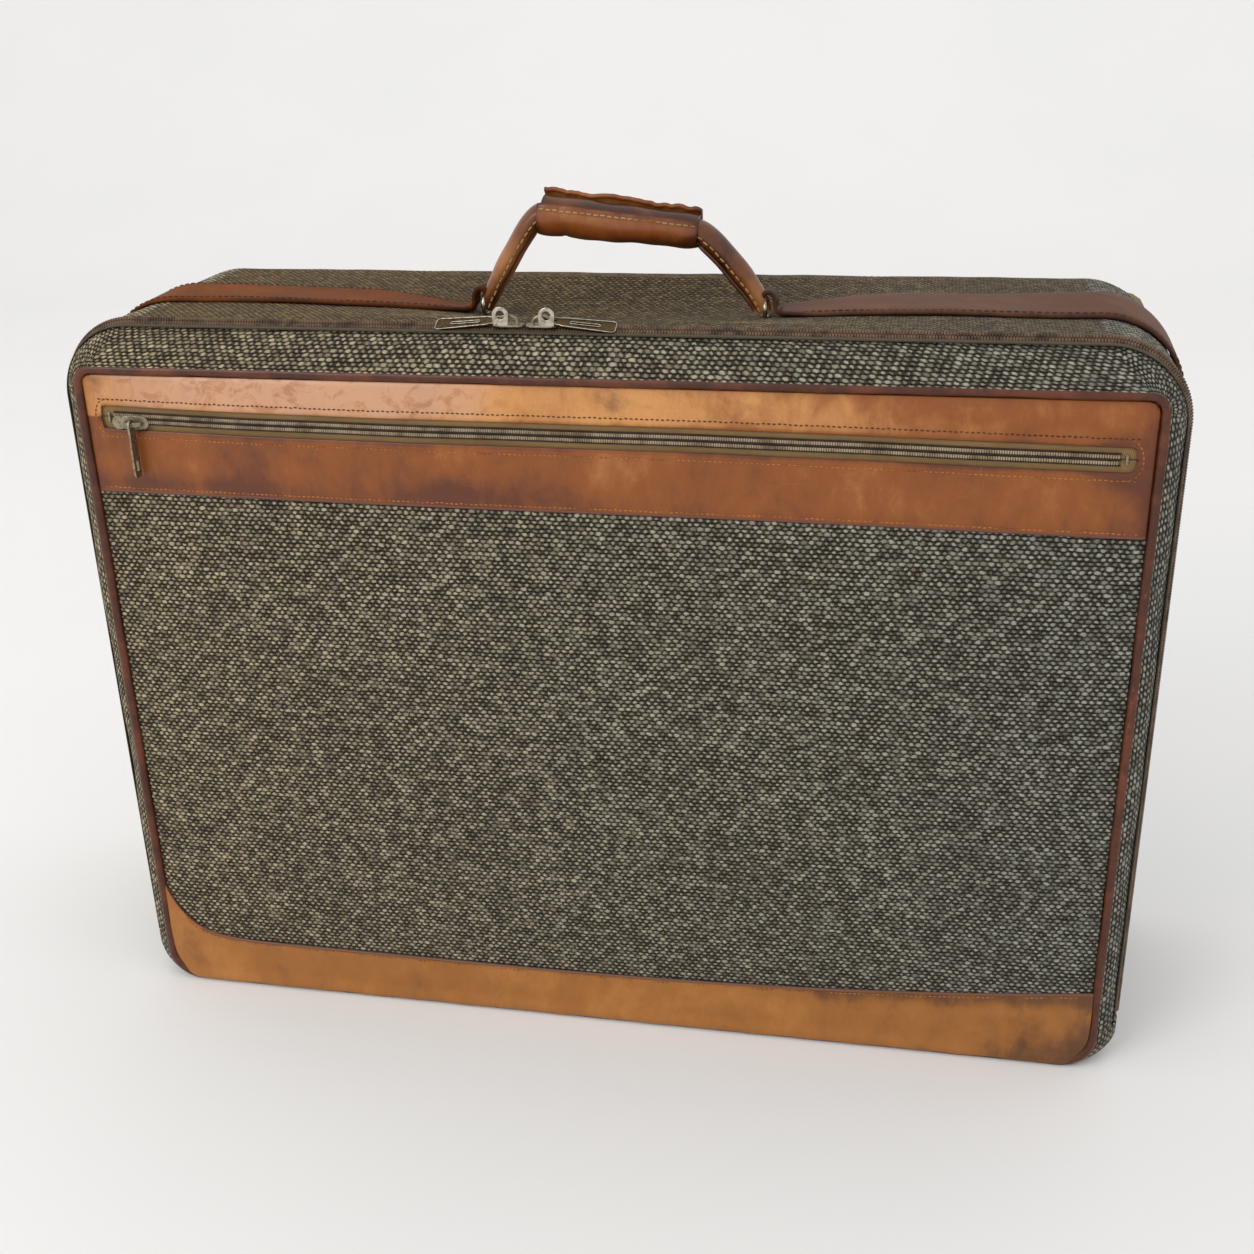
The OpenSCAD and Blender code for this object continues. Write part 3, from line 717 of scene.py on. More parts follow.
def tape_look(name, base, dark):
    """Zip tape with a herringbone of fine ribs, from its cloth coordinates."""
    k = Look(name)
    u, v, _ = k.parts(k.cloth())
    zig = k.math("PINGPONG", v, 1.3)
    ribs = k.math("SINE", k.times(k.plus(u, k.times(zig, 0.9)), 2 * math.pi / 1.05))
    ribs = k.step(ribs, -0.6, 0.8)
    dirt = k.noise(k.place(), 0.05, 3, 0.6)
    fibre = k.noise(k.cloth(), 2.2, 2, 0.6)
    colour = k.mix(ribs, dark, base)
    colour = k.mix(k.step(dirt, 0.4, 0.75, 0.0, 0.45), colour, dark)
    return k.finish(colour, 0.88, k.bump(k.scaled(fibre, 0.4, ribs), 0.6, 0.25), Specular_IOR_Level=0.25,
                    Sheen_Weight=0.1)


def coil_look(name, base, dark):
    k = Look(name)
    place = k.place()
    colour = k.mix(k.step(k.noise(place, 0.12, 3, 0.6), 0.35, 0.7), base, dark)
    return k.finish(colour, 0.55, k.bump(k.noise(place, 2.5, 2), 0.15, 0.1), Specular_IOR_Level=0.25)


def thread_look(name, base, dark):
    k = Look(name)
    place = k.place()
    twist = k.math("SINE", k.times(k.plus(k.parts(place)[0], k.parts(place)[2]), 9.0))
    colour = k.mix(k.step(k.noise(place, 0.09, 3), 0.4, 0.7), base, dark)
    return k.finish(colour, 0.75, k.bump(twist, 0.35, 0.12), Specular_IOR_Level=0.3)


def lining_look(name, base, dark):
    """Thin plain lining cloth with a fine weave and soft stains."""
    k = Look(name)
    place = k.place()
    x, y, z = k.parts(place)
    a = k.math("SINE", k.times(k.plus(x, y), 2 * math.pi / 0.9))
    b = k.math("SINE", k.times(k.minus(z, y), 2 * math.pi / 0.9))
    weave = k.times(a, b)
    stain = k.noise(place, 0.012, 4, 0.6)
    colour = k.mix(k.step(stain, 0.42, 0.75, 0.0, 0.6), base, dark)
    colour = k.mix(k.step(weave, -0.5, 1.0, 0.0, 0.18), colour, dark)
    folds = k.noise(place, 0.02, 3, 0.5, 0.8)
    return k.finish(colour, 0.7, k.bump(weave, 0.2, 0.1, k.bump(folds, 0.5, 5.0)), Sheen_Weight=0.15,
                    Specular_IOR_Level=0.3)


def board_look(name, base, dark):
    k = Look(name)
    place = k.place()
    fibre = k.noise(k.vec("MULTIPLY", place, (1.0, 1.0, 3.0)), 0.5, 4, 0.7)
    colour = k.mix(k.step(fibre, 0.4, 0.7), base, dark)
    return k.finish(colour, 0.85, k.bump(fibre, 0.3, 0.3))


TWEED = tweed_look("tweed")
# Same tweed, darker and flatter, for the top gusset: painted shade
TWEED_TOP_SHADED = tweed_look("tweed_top_shaded", "#96773f", "#86806a", "#1c150a", "#4b381b", 0.80, 0.8)
# Leather of the top band, with a painted highlight above the slit on the left
TAN = leather_look("leather_tan", "#86470f", "#c98d50", "#5a2a10", "#6e4437",
                   painted_highlight=(-178.0, 429.0, 118.0, 13.0))
TAN_LOW = leather_look("leather_tan_low", "#9a6024", "#bd8140", "#5d3818", "#6b4430", gloss=0.42,
                       stains=0.35)
STRAP_L = leather_look("leather_strap_left", "#6c380e", "#95561f", "#42210b", "#351b0d", gloss=0.6,
                       shine=0.08)
STRAP_R = leather_look("leather_strap_right", "#5a3825", "#7c5640", "#3a2016", "#2e1912", gloss=0.55,
                       shine=0.14)
GRIP_LEATHER = leather_look("leather_grip", "#84461b", "#c08548", "#4a210c", "#2a150c", gloss=0.28,
                            grain=1.4)
ARM_LEATHER = leather_look("leather_arm", "#6f3b1a", "#a86f3e", "#3d1d0d", "#2a150c", gloss=0.26, grain=1.4)
EDGE = leather_look("leather_edge", "#3f2519", "#5d3d2c", "#22130d", "#1c100b", gloss=0.5, scratches=0.0)
DARK = welt_look("leather_welt", "#66331c", "#96694a", "#43200f")
PIPE_BACK = welt_look("leather_welt_back", "#5b3020", "#7d5540", "#3f2016")
NICKEL = metal_look("nickel", "#b8b1a0", "#ebe6d8", "#857d6a", rough=0.2)
BRONZE = metal_look("bronze", "#57452a", "#a88d60", "#35291a", rough=0.33)
PEWTER = metal_look("pewter", "#9a8f78", "#b8ad95", "#776d59", rough=0.42)
STEEL = metal_look("steel", "#9b9fa3", "#c9ccce", "#6a6d70", rough=0.35)
TAPE = tape_look("zip_tape", "#a5855a", "#735a37")
TAPE_TOP = tape_look("zip_tape_main", "#574a33", "#352c1d")
COIL_POCKET = coil_look("zip_coil_pocket", "#a8977e", "#75634c")
COIL_MAIN = coil_look("zip_coil_main", "#6e5640", "#3c2d20")
CORD = coil_look("zip_cord", "#33261c", "#1c140e")
THREAD_TAN = thread_look("thread_tan", "#b27238", "#7a431e")
THREAD_DARK = thread_look("thread_dark", "#5d3a24", "#3b2216")
THREAD_CREAM = thread_look("thread_cream", "#ab8d5c", "#7c6038")
LINING = lining_look("lining_cloth", "#8c7a5c", "#7a6a50")
BOARD = board_look("fibre_board", "#4a443b", "#35302a")
FOAM = board_look("foam", "#b9b2a0", "#9a927f")

# ---- Front panel ----


def panel_wave(x, z):
    """Unevenness of the padded front, forwards."""
    return 0.5 * np.sin(x / 71.0 + 1.0) * np.sin(z / 53.0) + 0.35 * np.sin(x / 37.0 - z / 61.0)


def front_tweed():
    x = np.arange(-290, 291) * WARP / 2
    z = np.arange(27, 278) * WEFT / 2
    xx, zz = net(x, z)
    tuck = (1 - (np.abs(xx) / 312.5) ** 14)
    rise = clamp(1 - (np.abs(zz - 202.0) / 163.0) ** 6)
    crown = 2.4 * tuck * rise + panel_wave(xx, zz) * tuck * rise
    y = FRONT_Y + 2.05 - crown - relief(xx, zz)
    points = stacked(xx, y, zz)
    tone = clamp((xx + 312) / 624) * 0.8 + 0.1
    obj = grid("front_tweed_cloth", points, TWEED, stacked(xx, zz), tone)
    thicken(obj, 1.2)
    return ride(obj, "lid", "tweed", "front_tweed")


def band_warp(x, z):
    """Leather of the top band as it really lies: the slit slopes a little and everything waves."""
    level = np.interp(z, [BAND_LOW, 400.0, 418.0, PANEL_HIGH], [0.55, 1.0, 1.0, 0.0])
    z2 = z - x * 0.0107 * level + level * (0.9 * np.sin(x / 95.0 + 0.6) - 0.6 * np.cos(x / 160.0))
    rise = 1.5 * np.sin(np.pi * clamp((z - BAND_LOW) / (PANEL_HIGH - BAND_LOW))) ** 0.8
    pucker = 0.35 * np.sin(x / 17.0 + z / 9.0) * bell(z, SLOT_Z, 16.0)
    ends = 1 - (np.abs(x) / 312.5) ** 20
    y = FRONT_Y - (rise + pucker + 0.4 * np.sin(x / 61.0 + z / 40.0)) * ends
    return stacked(x, y, z2)


def slot_edge(x):
    """Half height of the slit along it, with round ends."""
    r = SLOT_H / 2 - 0.5
    end = clamp((np.abs(x) - (SLOT_HALF - r)) / r)
    return 0.5 + r * np.maximum(0, 1 - end ** 5) ** 0.2


def top_band():
    near = [0.0, 0.5, 1.2, 2.2, 3.6, 5.2, 6.5]
    fine = [SLOT_HALF - k for k in near]
    x = np.array(sorted(set([-v for v in fine] + fine + list(np.linspace(-294, 294, 197))
                            + [-311.8, -310.8, -308.5, -305.5, 305.5, 308.5, 310.8, 311.8])))
    low_rows = [BAND_LOW, BAND_LOW + 0.6, BAND_LOW + 1.3, BAND_LOW + 1.8, BAND_LOW + 2.1, BAND_LOW + 3.4,
                367.5, 370, 374, 378, 382, 386, 390, 394, 397, 399.5, 401, 401.6, SLOT_Z - SLOT_H / 2]
    high_rows = [SLOT_Z + SLOT_H / 2, 416.4, 417, 418.5, 421, 424, 427, 430, 433, 435, 436.4, 437.3,
                 PANEL_HIGH]
    z = np.array(low_rows + high_rows)
    xx, zz = net(x, z)
    inside = np.abs(xx) <= SLOT_HALF + 1e-6
    upper = zz > SLOT_Z
    shift = slot_edge(xx) - SLOT_H / 2
    fade = clamp(1 - (np.abs(zz - SLOT_Z) - SLOT_H / 2) / 14.0)
    zz2 = zz + np.where(inside, np.where(upper, shift, -shift) * fade,
                        np.where(upper, -1, 1) * (SLOT_H / 2 - 0.5) * fade)
    corner = clamp((np.abs(xx) - (PANEL_HALF - 6)) / 6)
    zz2 = np.where(upper, np.minimum(zz2, PANEL_HIGH - 6 + 6 * np.sqrt(np.maximum(0, 1 - corner ** 2))),
                   zz2)
    points = band_warp(xx, zz2)
    # The cut edges are rolled over a little
    from_slit = np.abs(zz - SLOT_Z) - SLOT_H / 2
    lip = 0.9 * clamp(1 - (zz - BAND_LOW) / 2.6) ** 2
    lip = lip + np.where(np.abs(xx) < SLOT_HALF + 2, 0.7 * clamp(1 - from_slit / 1.4) ** 2, 0)
    tuck = 1.1 * clamp((zz - 434) / 3.8) ** 2 + 0.8 * clamp((np.abs(xx) - 308) / 3.8) ** 2
    points[..., 1] += lip + tuck
    # Painted light and shade: lighter above the slit towards the left as a painted highlight, darker below it
    # as painted shade; also dark along the edges and the slit's lips and in stained places
    above = clamp((zz - SLOT_Z) / 4 + 0.5)
    tone = 0.42 + above * (0.50 - 0.42 * clamp((xx + 20) / 300)) + 0.10 * (1 - above) * bell(xx, 60, 260)
    tone -= 0.22 * clamp((np.abs(xx) - 302) / 9) + 0.10 * clamp((zz - 433) / 5)
    tone -= 0.5 * spot(xx - 300, 20, zz - 408, 20) + 0.20 * spot(xx + 250, 60, zz - 370, 6)
    tone -= 0.22 * spot(xx + 60, 70, zz - 372, 9) + 0.10 * bell(zz, 366, 6)
    lip_dark = (np.abs(xx) < SLOT_HALF + 3) * bell(from_slit, 0, 1.8)
    tone = np.clip(np.maximum(tone, 0.13) - 0.25 * lip_dark, 0.09, 1)
    tone = np.where(zz < BAND_LOW + 1.9, 0.0, tone)
    n, m = points.shape[:2]
    faces = grid_faces(n, m)
    gap = len(low_rows) - 1
    i, j = faces[:, 0] // m, faces[:, 0] % m
    open_ = (j == gap) & (x[i] > -SLOT_HALF - 1e-6) & (x[np.minimum(i + 1, n - 1)] < SLOT_HALF + 1e-6)
    obj = make("top_band_leather", points, faces[~open_], TAN, stacked(xx, zz), tone)
    thicken(obj, 1.7)
    return ride(obj, "lid", "leather_tan", "top_band")


def base_edge(x):
    """Upper edge of the bottom band: a steep left end, then nearly level, rising slowly to the right."""
    left = 40.0 * np.exp(-(x + 312.0) / 14.0)
    right = 21.0 * (np.clip(x + 120.0, 0, None) / 430.0) ** 2.6
    return 36.2 + left + right


def base_band():
    x = np.concatenate([[-312.4, -311.8, -311.0, -309.5, -307], np.linspace(-304, 304, 153),
                        [307, 309.5, 311.0, 311.8, 312.4]])
    t = np.array([0, 0.02, 0.05, 0.09, 0.14, 0.2, 0.28, 0.38, 0.5, 0.62, 0.74, 0.84, 0.90, 0.94, 0.97,
                  0.985, 1.0])
    xx, tt = net(x, t)
    # The band wraps over the bottom welt, which it hides from the front
    r_x, r_z, z_c = 17.4, 22.2, 23.0
    bend = clamp((np.abs(xx) - (312.4 - r_x)) / r_x)
    low = (z_c - r_z * np.sqrt(np.maximum(0, 1 - bend ** 2))
           + 0.35 * np.sin(xx / 7.0) * np.sin(xx / 23.0) * (1 - bend))
    high = base_edge(xx)
    zz = low + (high - low) * tt
    puff = (0.9 * np.sin(np.pi * tt) ** 0.7 + 0.5 * np.sin(xx / 47 + 0.5) * np.sin(np.pi * tt)
            + 0.3 * np.sin(xx / 19 + zz / 7) * np.sin(np.pi * tt))
    over = 2.6 * clamp((12.0 - zz) / 7.0) * (1 - bend ** 2)
    y = FRONT_Y - puff - over + 0.9 * clamp((tt - 0.96) / 0.04) ** 2 + 2.4 * clamp(1 - tt / 0.09) ** 2
    tone = 0.56 - 0.20 * spot(xx - 290, 40, zz - 8, 12) - 0.06 * spot(xx - 200, 60, zz - 14, 14)
    tone -= 0.2 * clamp((xx - 60) / 250) + 0.42 * clamp(1 - (high - zz) / 13.0) * np.clip((xx - 20) / 150,
            0.1, 1)
    tone = np.where((high - zz < 1.3) | (tt < 0.03), 0.0, np.clip(tone, 0.12, 1))
    obj = grid("base_band_leather", stacked(xx, y, zz), TAN_LOW, stacked(xx, zz), tone)
    thicken(obj, 1.7)
    return ride(obj, "lid", "leather_tan", "base_band")


def front_stitches():
    out = (0, -1, 0)
    x = np.linspace(-306, 306, 300)
    lower = band_warp(x, BAND_LOW + 3.5)
    sew("lid", "band_lower_stitches", lower, out, THREAD_TAN, 3.0, 1.9)
    # Round the pocket slit
    off = 4.6
    x = np.linspace(-SLOT_HALF, SLOT_HALF, 300)
    top = band_warp(x, SLOT_Z + SLOT_H / 2 + off)
    low = band_warp(x, SLOT_Z - SLOT_H / 2 - off)
    a = np.radians(np.linspace(90, -90, 14))
    r = SLOT_H / 2 + off
    for name, path in (("slot_upper_stitches", top), ("slot_lower_stitches", low)):
        sew("lid", name, path, out, THREAD_DARK if "upper" in name else THREAD_TAN, 3.0, 1.8, radius=0.4)
    for side, where in SIDES:
        path = band_warp(side * (SLOT_HALF - 5 + (r - 3) * np.cos(a)), SLOT_Z + r * np.sin(a))
        sew("lid", f"slot_end_stitches_{where}", path, out, THREAD_TAN, 3.0, 1.8, radius=0.4)
    x = np.linspace(-300, 305, 300)
    path = stacked(x, FRONT_Y - 0.35, base_edge(x) - 2.6)
    sew("lid", "base_band_stitches", path, out, THREAD_TAN, 3.0, 1.9)


def pocket_zip():
    """Tapes, coils and stops behind the slit of the top band."""
    half = SLOT_HALF + 4

    def centre(x):
        return band_warp(x, SLOT_Z)

    for side, name in ((1, "upper"), (-1, "lower")):
        x = np.linspace(-half, half, 240)
        t = np.array([0.3, 1.2, 2.5, 4.0, 5.5, 7.5, 10.0, 13.0])
        xx, tt = net(x, t)
        mid = centre(x)
        dip = 0.5 + 0.5 * clamp(tt / 8) + 0.15 * np.sin(xx / 21.0 + side)
        points = stacked(xx, np.broadcast_to(mid[:, None, 1] + 1.7, xx.shape) + dip,
                         mid[:, None, 2] + side * tt)
        tape = grid(f"pocket_tape_{name}_cloth", points, TAPE, stacked(xx, tt), flip=side < 0)
        thicken(tape, 0.6)
        ride(tape, "lid", "zip_tape", f"pocket_tape_{name}")
        n = int(2 * POCKET_CHAIN_HALF / POCKET_PITCH)
        x = -POCKET_CHAIN_HALF + (np.arange(n) + (0.5 if side > 0 else 0)) * POCKET_PITCH
        mid = centre(x)
        origins = stacked(x, mid[:, 1] + 0.5 - 0.15 * npr.rand(n), mid[:, 2] + side * 1.8)
        axes = np.tile(np.array([[0, 0, side], [1.0, 0, 0], [0, -side, 0]], float), (n, 1, 1))
        part, faces = capsule(2.1, 0.55, 6, 0.9)
        coil = scatter(f"pocket_coil_{name}_teeth", part, faces, origins, axes, COIL_POCKET)
        ride(coil, "lid", "zip_coil", f"pocket_coil_{name}")
    x = np.linspace(-POCKET_CHAIN_HALF, POCKET_CHAIN_HALF, 200)
    seam = centre(x) + np.array([0, 1.1, 0])
    ride(sweep("pocket_coil_core", seam, (0, 0, 1), ring_profile(0.8, 0.5, 8), CORD), "lid", "zip_coil")
    # Dark cords along both sides of the teeth: the sewing lines, darkened as painted shade beside the coil
    for side, name in ((1, "upper"), (-1, "lower")):
        edge = centre(x) + np.array([0, 1.25, side * 3.3])
        ride(sweep(f"pocket_coil_{name}_sewing_and_shade", edge, (0, 0, 1), ring_profile(0.55, 0.5, 8), CORD), "lid",
             "zip_coil")
    ends = centre(np.array([-1.0, 1.0]) * (SLOT_HALF - 5.0)) + np.array([0, 0.7, 0])
    upright = np.array([[[0, 0, 1], [1, 0, 0], [0, 1, 0]]] * 2, float)
    stop = scatter("pocket_zip_stop_bars", *capsule(6.4, 0.95, 8, 0.8), ends, upright, PEWTER)
    ride(stop, "lid", "zip_metal", "pocket_zip_stops")


# ---- Welts ----


def welt(name, half, low, high, r_top, r_low, y, material, body, node):
    """Piping round a closed outline, slightly uneven in place and thickness."""
    loop = full_outline(half, low, high, r_top, r_low, 2.5)
    step = np.arange(len(loop))
    wave = 0.25 * np.sin(step / 9.0) + 0.2 * np.sin(step / 3.7 + 1)
    path = stacked(loop[:, 0] + loop[:, 2] * wave * 0.5, y + wave * 0.3,
                   loop[:, 1] + loop[:, 3] * wave * 0.5)
    size = 1 + 0.035 * np.sin(step / 5.0) + 0.02 * np.sin(step / 1.9)
    obj = sweep(name, path, (0, 1, 0), ring_profile(WELT_R, WELT_R, 18), material, size, closed=True)
    return ride(obj, body, "leather_dark", node)


# ---- Bevel of the lid and hinge fold ----


def bevel_points(inner, outer, rows):
    """Soft padded strip from the welt round to the zip. inner and outer are outlines with the same count."""
    t = np.linspace(0, 1, rows)
    lift = 0.62 * t + 0.38 * np.sin(t * np.pi / 2)
    back = 0.62 * t + 0.38 * (1 - np.cos(t * np.pi / 2))
    xz = inner[:, None, :2] * (1 - lift[None, :, None]) + outer[:, None, :2] * lift[None, :, None]
    y0, y1 = WELT_Y - 2.0, BEVEL_TO
    y = np.broadcast_to(y0 + (y1 - y0) * back, xz.shape[:2])
    points = stacked(xz[..., 0], y, xz[..., 1])
    normal = unit(outline_normal(outer)[:, None, :] * lift[None, :, None]
                  + np.array([0, -1.0, 0]) * (1 - lift[None, :, None]))
    return points, normal, t


def lid_bevel():
    counts = (int((CASE_H - TOP_R - GUSSET_LOW) / (WARP / 2)), int(ARC_TOP / (WARP / 2)),
              int(2 * FLAT / (WARP / 2)))
    outer = upper_outline(HALF - 2.8, CASE_H - 2.8, TOP_R - 2.8, GUSSET_LOW, *counts)
    inner = upper_outline(WELT_HALF + 2.0, WELT_HIGH + 2.0, WELT_TOP_R + 2.0, GUSSET_LOW, *counts)
    rows = 24
    points, normal, t = bevel_points(inner, outer, rows)
    along = distance_along(outer[:, :2])
    width = np.linalg.norm(np.diff(points, axis=1), axis=2).cumsum(1)
    v = np.concatenate([np.zeros((len(outer), 1)), width], 1)
    u = np.broadcast_to(along[:, None], v.shape)
    puff = 0.9 * np.sin(np.pi * t)[None, :] * (1 + 0.5 * np.sin(along / 33.0)[:, None]
                                               + 0.4 * np.sin(along / 13.0)[:, None])
    points = points + normal * (puff + relief(u, v))[..., None]
    # Turned edge beside the zip
    hem = points[:, -1:, :] - outline_normal(outer)[:, None, :] * HEM + np.array([0, 0.3, 0])
    points = np.concatenate([points, hem], 1)
    uv = stacked(u, v)
    uv = np.concatenate([uv, uv[:, -1:] + np.array([0, HEM])], 1)
    tone = clamp((points[..., 0] + HALF) / CASE_W) * 0.9 - 0.05
    obj = grid("lid_bevel_tweed", points, TWEED, uv, clamp(tone))
    return ride(obj, "lid", "tweed", "lid_gusset")


def hinge_fold():
    """Lowest strip round the bottom, from the lid's welt back to behind the zip line; it is fixed to no body.
    """
    counts = (5, 16, 206)
    outer = lower_outline(HALF, 0.0, LOW_R, GUSSET_LOW, *counts)
    inner = lower_outline(WELT_HALF + 1.8, WELT_LOW - 1.8, WELT_LOW_R + 1.8, GUSSET_LOW, *counts)
    points, _, _ = bevel_points(inner, outer, 14)
    back = [points[:, -1, :] + np.array([0, d, 0])
            for d in np.linspace(1.2, BODY_FRONT_Y - BEVEL_TO + 1.5, 8)]
    points = np.concatenate([points] + [b[:, None, :] for b in back], 1)
    width = np.linalg.norm(np.diff(points, axis=1), axis=2).cumsum(1)
    v = np.concatenate([np.zeros((len(outer), 1)), width], 1)
    along = distance_along(outer[:, :2])
    uv = stacked(np.broadcast_to(along[:, None], v.shape), v)
    obj = grid("hinge_fold_tweed", points, TWEED, uv)
    thicken(obj, 1.0)
    apply_modifiers(obj)
    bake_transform(obj)
    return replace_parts(obj, "hinge_gusset")


# ---- Body ----


def body_sheet(name, node, material, s, woven):
    """Cloth round a stretch of the body, its front edge turned in; woven is 1 where the weave stands up."""
    y = BODY_FRONT_Y + np.arange(0, int((BODY_BACK_Y - BODY_FRONT_Y) / (WEFT / 2)) + 1) * WEFT / 2
    y[-1] = BODY_BACK_Y + 1.5
    ss, yy = net(s, y)
    _, _, nx, nz = body_at(ss)
    lift = relief(ss, yy - BODY_FRONT_Y) * woven[:, None]
    points = skin(ss, yy)
    points[..., 0] += nx * lift
    points[..., 2] += nz * lift
    points[..., 2] = np.maximum(points[..., 2], 0.0)
    hem = points[:, :1, :].copy()
    hem[..., 0] -= nx[:, :1] * HEM
    hem[..., 2] -= nz[:, :1] * HEM
    points = np.concatenate([hem, points], 1)
    uv = stacked(ss, yy - BODY_FRONT_Y)
    uv = np.concatenate([uv[:, :1] - np.array([0, HEM]), uv], 1)
    tone = clamp((points[..., 0] + HALF) / CASE_W) * 0.7
    return ride(grid(name, points, material, uv, tone), "case", "tweed", node)


def body_cloth():
    step = WARP / 2
    corner, low_side = 263, int(S4 / step)
    top = np.arange(-corner, corner + 1) * step
    # The top is the darker copy of the tweed: painted shade
    body_sheet("top_cloth", "top_gusset", TWEED_TOP_SHADED, top, np.ones(len(top)))
    # One strip down the right side, under the bottom, where it is coarser and flat, and up the left side
    under = np.arange(low_side, int(S5 / step), 6) * step
    right = np.concatenate([np.arange(corner, low_side) * step, under, [S5]])
    loop = np.concatenate([right, -right[::-1][1:]])
    body_sheet("side_cloth", "body_gusset", TWEED, loop, (np.abs(loop) < S4) * 1.0)


def top_board():
    """Stiffener under the handle; it follows the sagging cloth."""
    low, high = (np.array(corner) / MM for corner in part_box("top_stiffener"))
    x = np.linspace(low[0] + 1, high[0] - 1, 80)
    y = np.linspace(low[1] + 1, high[1] - 1, 14)
    xx, yy = net(x, y)
    board = grid("top_board", skin(xx, yy, -3.0) + [0, 0, 0.15] * np.sin(xx / 9)[..., None], BOARD)
    thicken(board, 1.4)
    return ride(board, "case", "fibre_board", "top_stiffener")


def back_cloth():
    x = np.linspace(-HALF + 4.5, HALF - 4.5, 150)
    t = np.linspace(0, 1, 100)
    xx, tt = net(x, t)
    r_top, r_low = TOP_R - 4.5, LOW_R - 4.5
    half = HALF - 4.5
    a = clamp((np.abs(xx) - (half - r_top)) / r_top)
    b = clamp((np.abs(xx) - (half - r_low)) / r_low)
    high = CASE_H - 4.5 - r_top + r_top * np.sqrt(np.maximum(0, 1 - a ** 2))
    low = 4.5 + r_low - r_low * np.sqrt(np.maximum(0, 1 - b ** 2))
    zz = low + (high - low) * tt
    crown = (2.0 * (1 - (np.abs(xx) / half) ** 8) * (1 - np.abs(2 * tt - 1) ** 8)
             + 0.4 * np.sin(xx / 60) * np.sin(zz / 50))
    points = stacked(xx, BACK_Y - 2.4 + crown, zz)
    tone = clamp((xx + HALF) / CASE_W)
    obj = grid("back_panel_cloth", points, TWEED, stacked(xx, zz), tone, flip=True)
    thicken(obj, 1.2)
    ride(obj, "case", "tweed", "back_panel")


def strap(side, name):
    """Leather strap that lies over the top and down the end of the case."""
    s_in = abs(RING_X[side > 0]) + 12
    s_end = S2 + (CASE_H - TOP_R - STRAP_END_Z)
    s = np.concatenate([np.linspace(s_in, S1, 60), np.linspace(S1, S2, 24)[1:],
                        np.linspace(S2, s_end, 90)[1:]])
    full = STRAP_W + (6.0 if side > 0 else 0.0)
    width = full * (1 - 0.55 * clamp(1 - (s - s_in) / TAPER_L) ** 1.2)
    end = clamp((s - (s_end - 16)) / 16)
    width = width * np.sqrt(np.maximum(0.02, 1 - end ** 2.2))
    drift = 1.2 * np.sin(s / 70.0 + side)
    thick = 3.0
    across = np.linspace(-1, 1, 15)
    top, lower = [], []
    for k in across:
        y = STRAP_Y + drift + k * width / 2
        round_edge = 0.9 * abs(k) ** 8
        wave = 0.35 * np.sin(s / 21.0 + k)
        rise = 3.1 + (1.0 + k * 0.9) * (side > 0) - round_edge + wave + 1.2 * bell(s, s_in, 16)
        top.append(skin(side * s, y, rise))
        lower.append(skin(side * s, y, rise - thick + 1.6 * abs(k) ** 8))
    loop = np.stack(top + lower[::-1], 1)
    n, m = loop.shape[:2]
    faces = [list(f) for f in grid_faces(n, m, False, True)]
    faces += [list(range(m)), [(n - 1) * m + k for k in range(m)][::-1]]
    if side < 0:
        faces = [f[::-1] for f in faces]
    edge = np.concatenate([np.abs(across) ** 6, np.abs(across[::-1]) ** 6])
    tone = 0.55 - 0.3 * edge[None, :] - 0.25 * bell(s, s_in, 25)[:, None]
    obj = make(f"strap_{name}_leather", loop, faces, STRAP_L if side < 0 else STRAP_R, None, clamp(tone))
    ride(obj, "case", "leather_tan", f"strap_{name}")
    keep = (width > 14) & (s < s_end - 14)
    for where, k in (("front", -1), ("rear", 1)):
        y = STRAP_Y + drift + k * (width / 2 - 3.6)
        path, normal = skin(side * s, y, 3.2)[keep], skin_normal(side * s, y)[keep]
        sew("case", f"strap_{name}_{where}_stitches", path, normal, THREAD_DARK, 4.2, 2.8)


# ---- Main zip ----


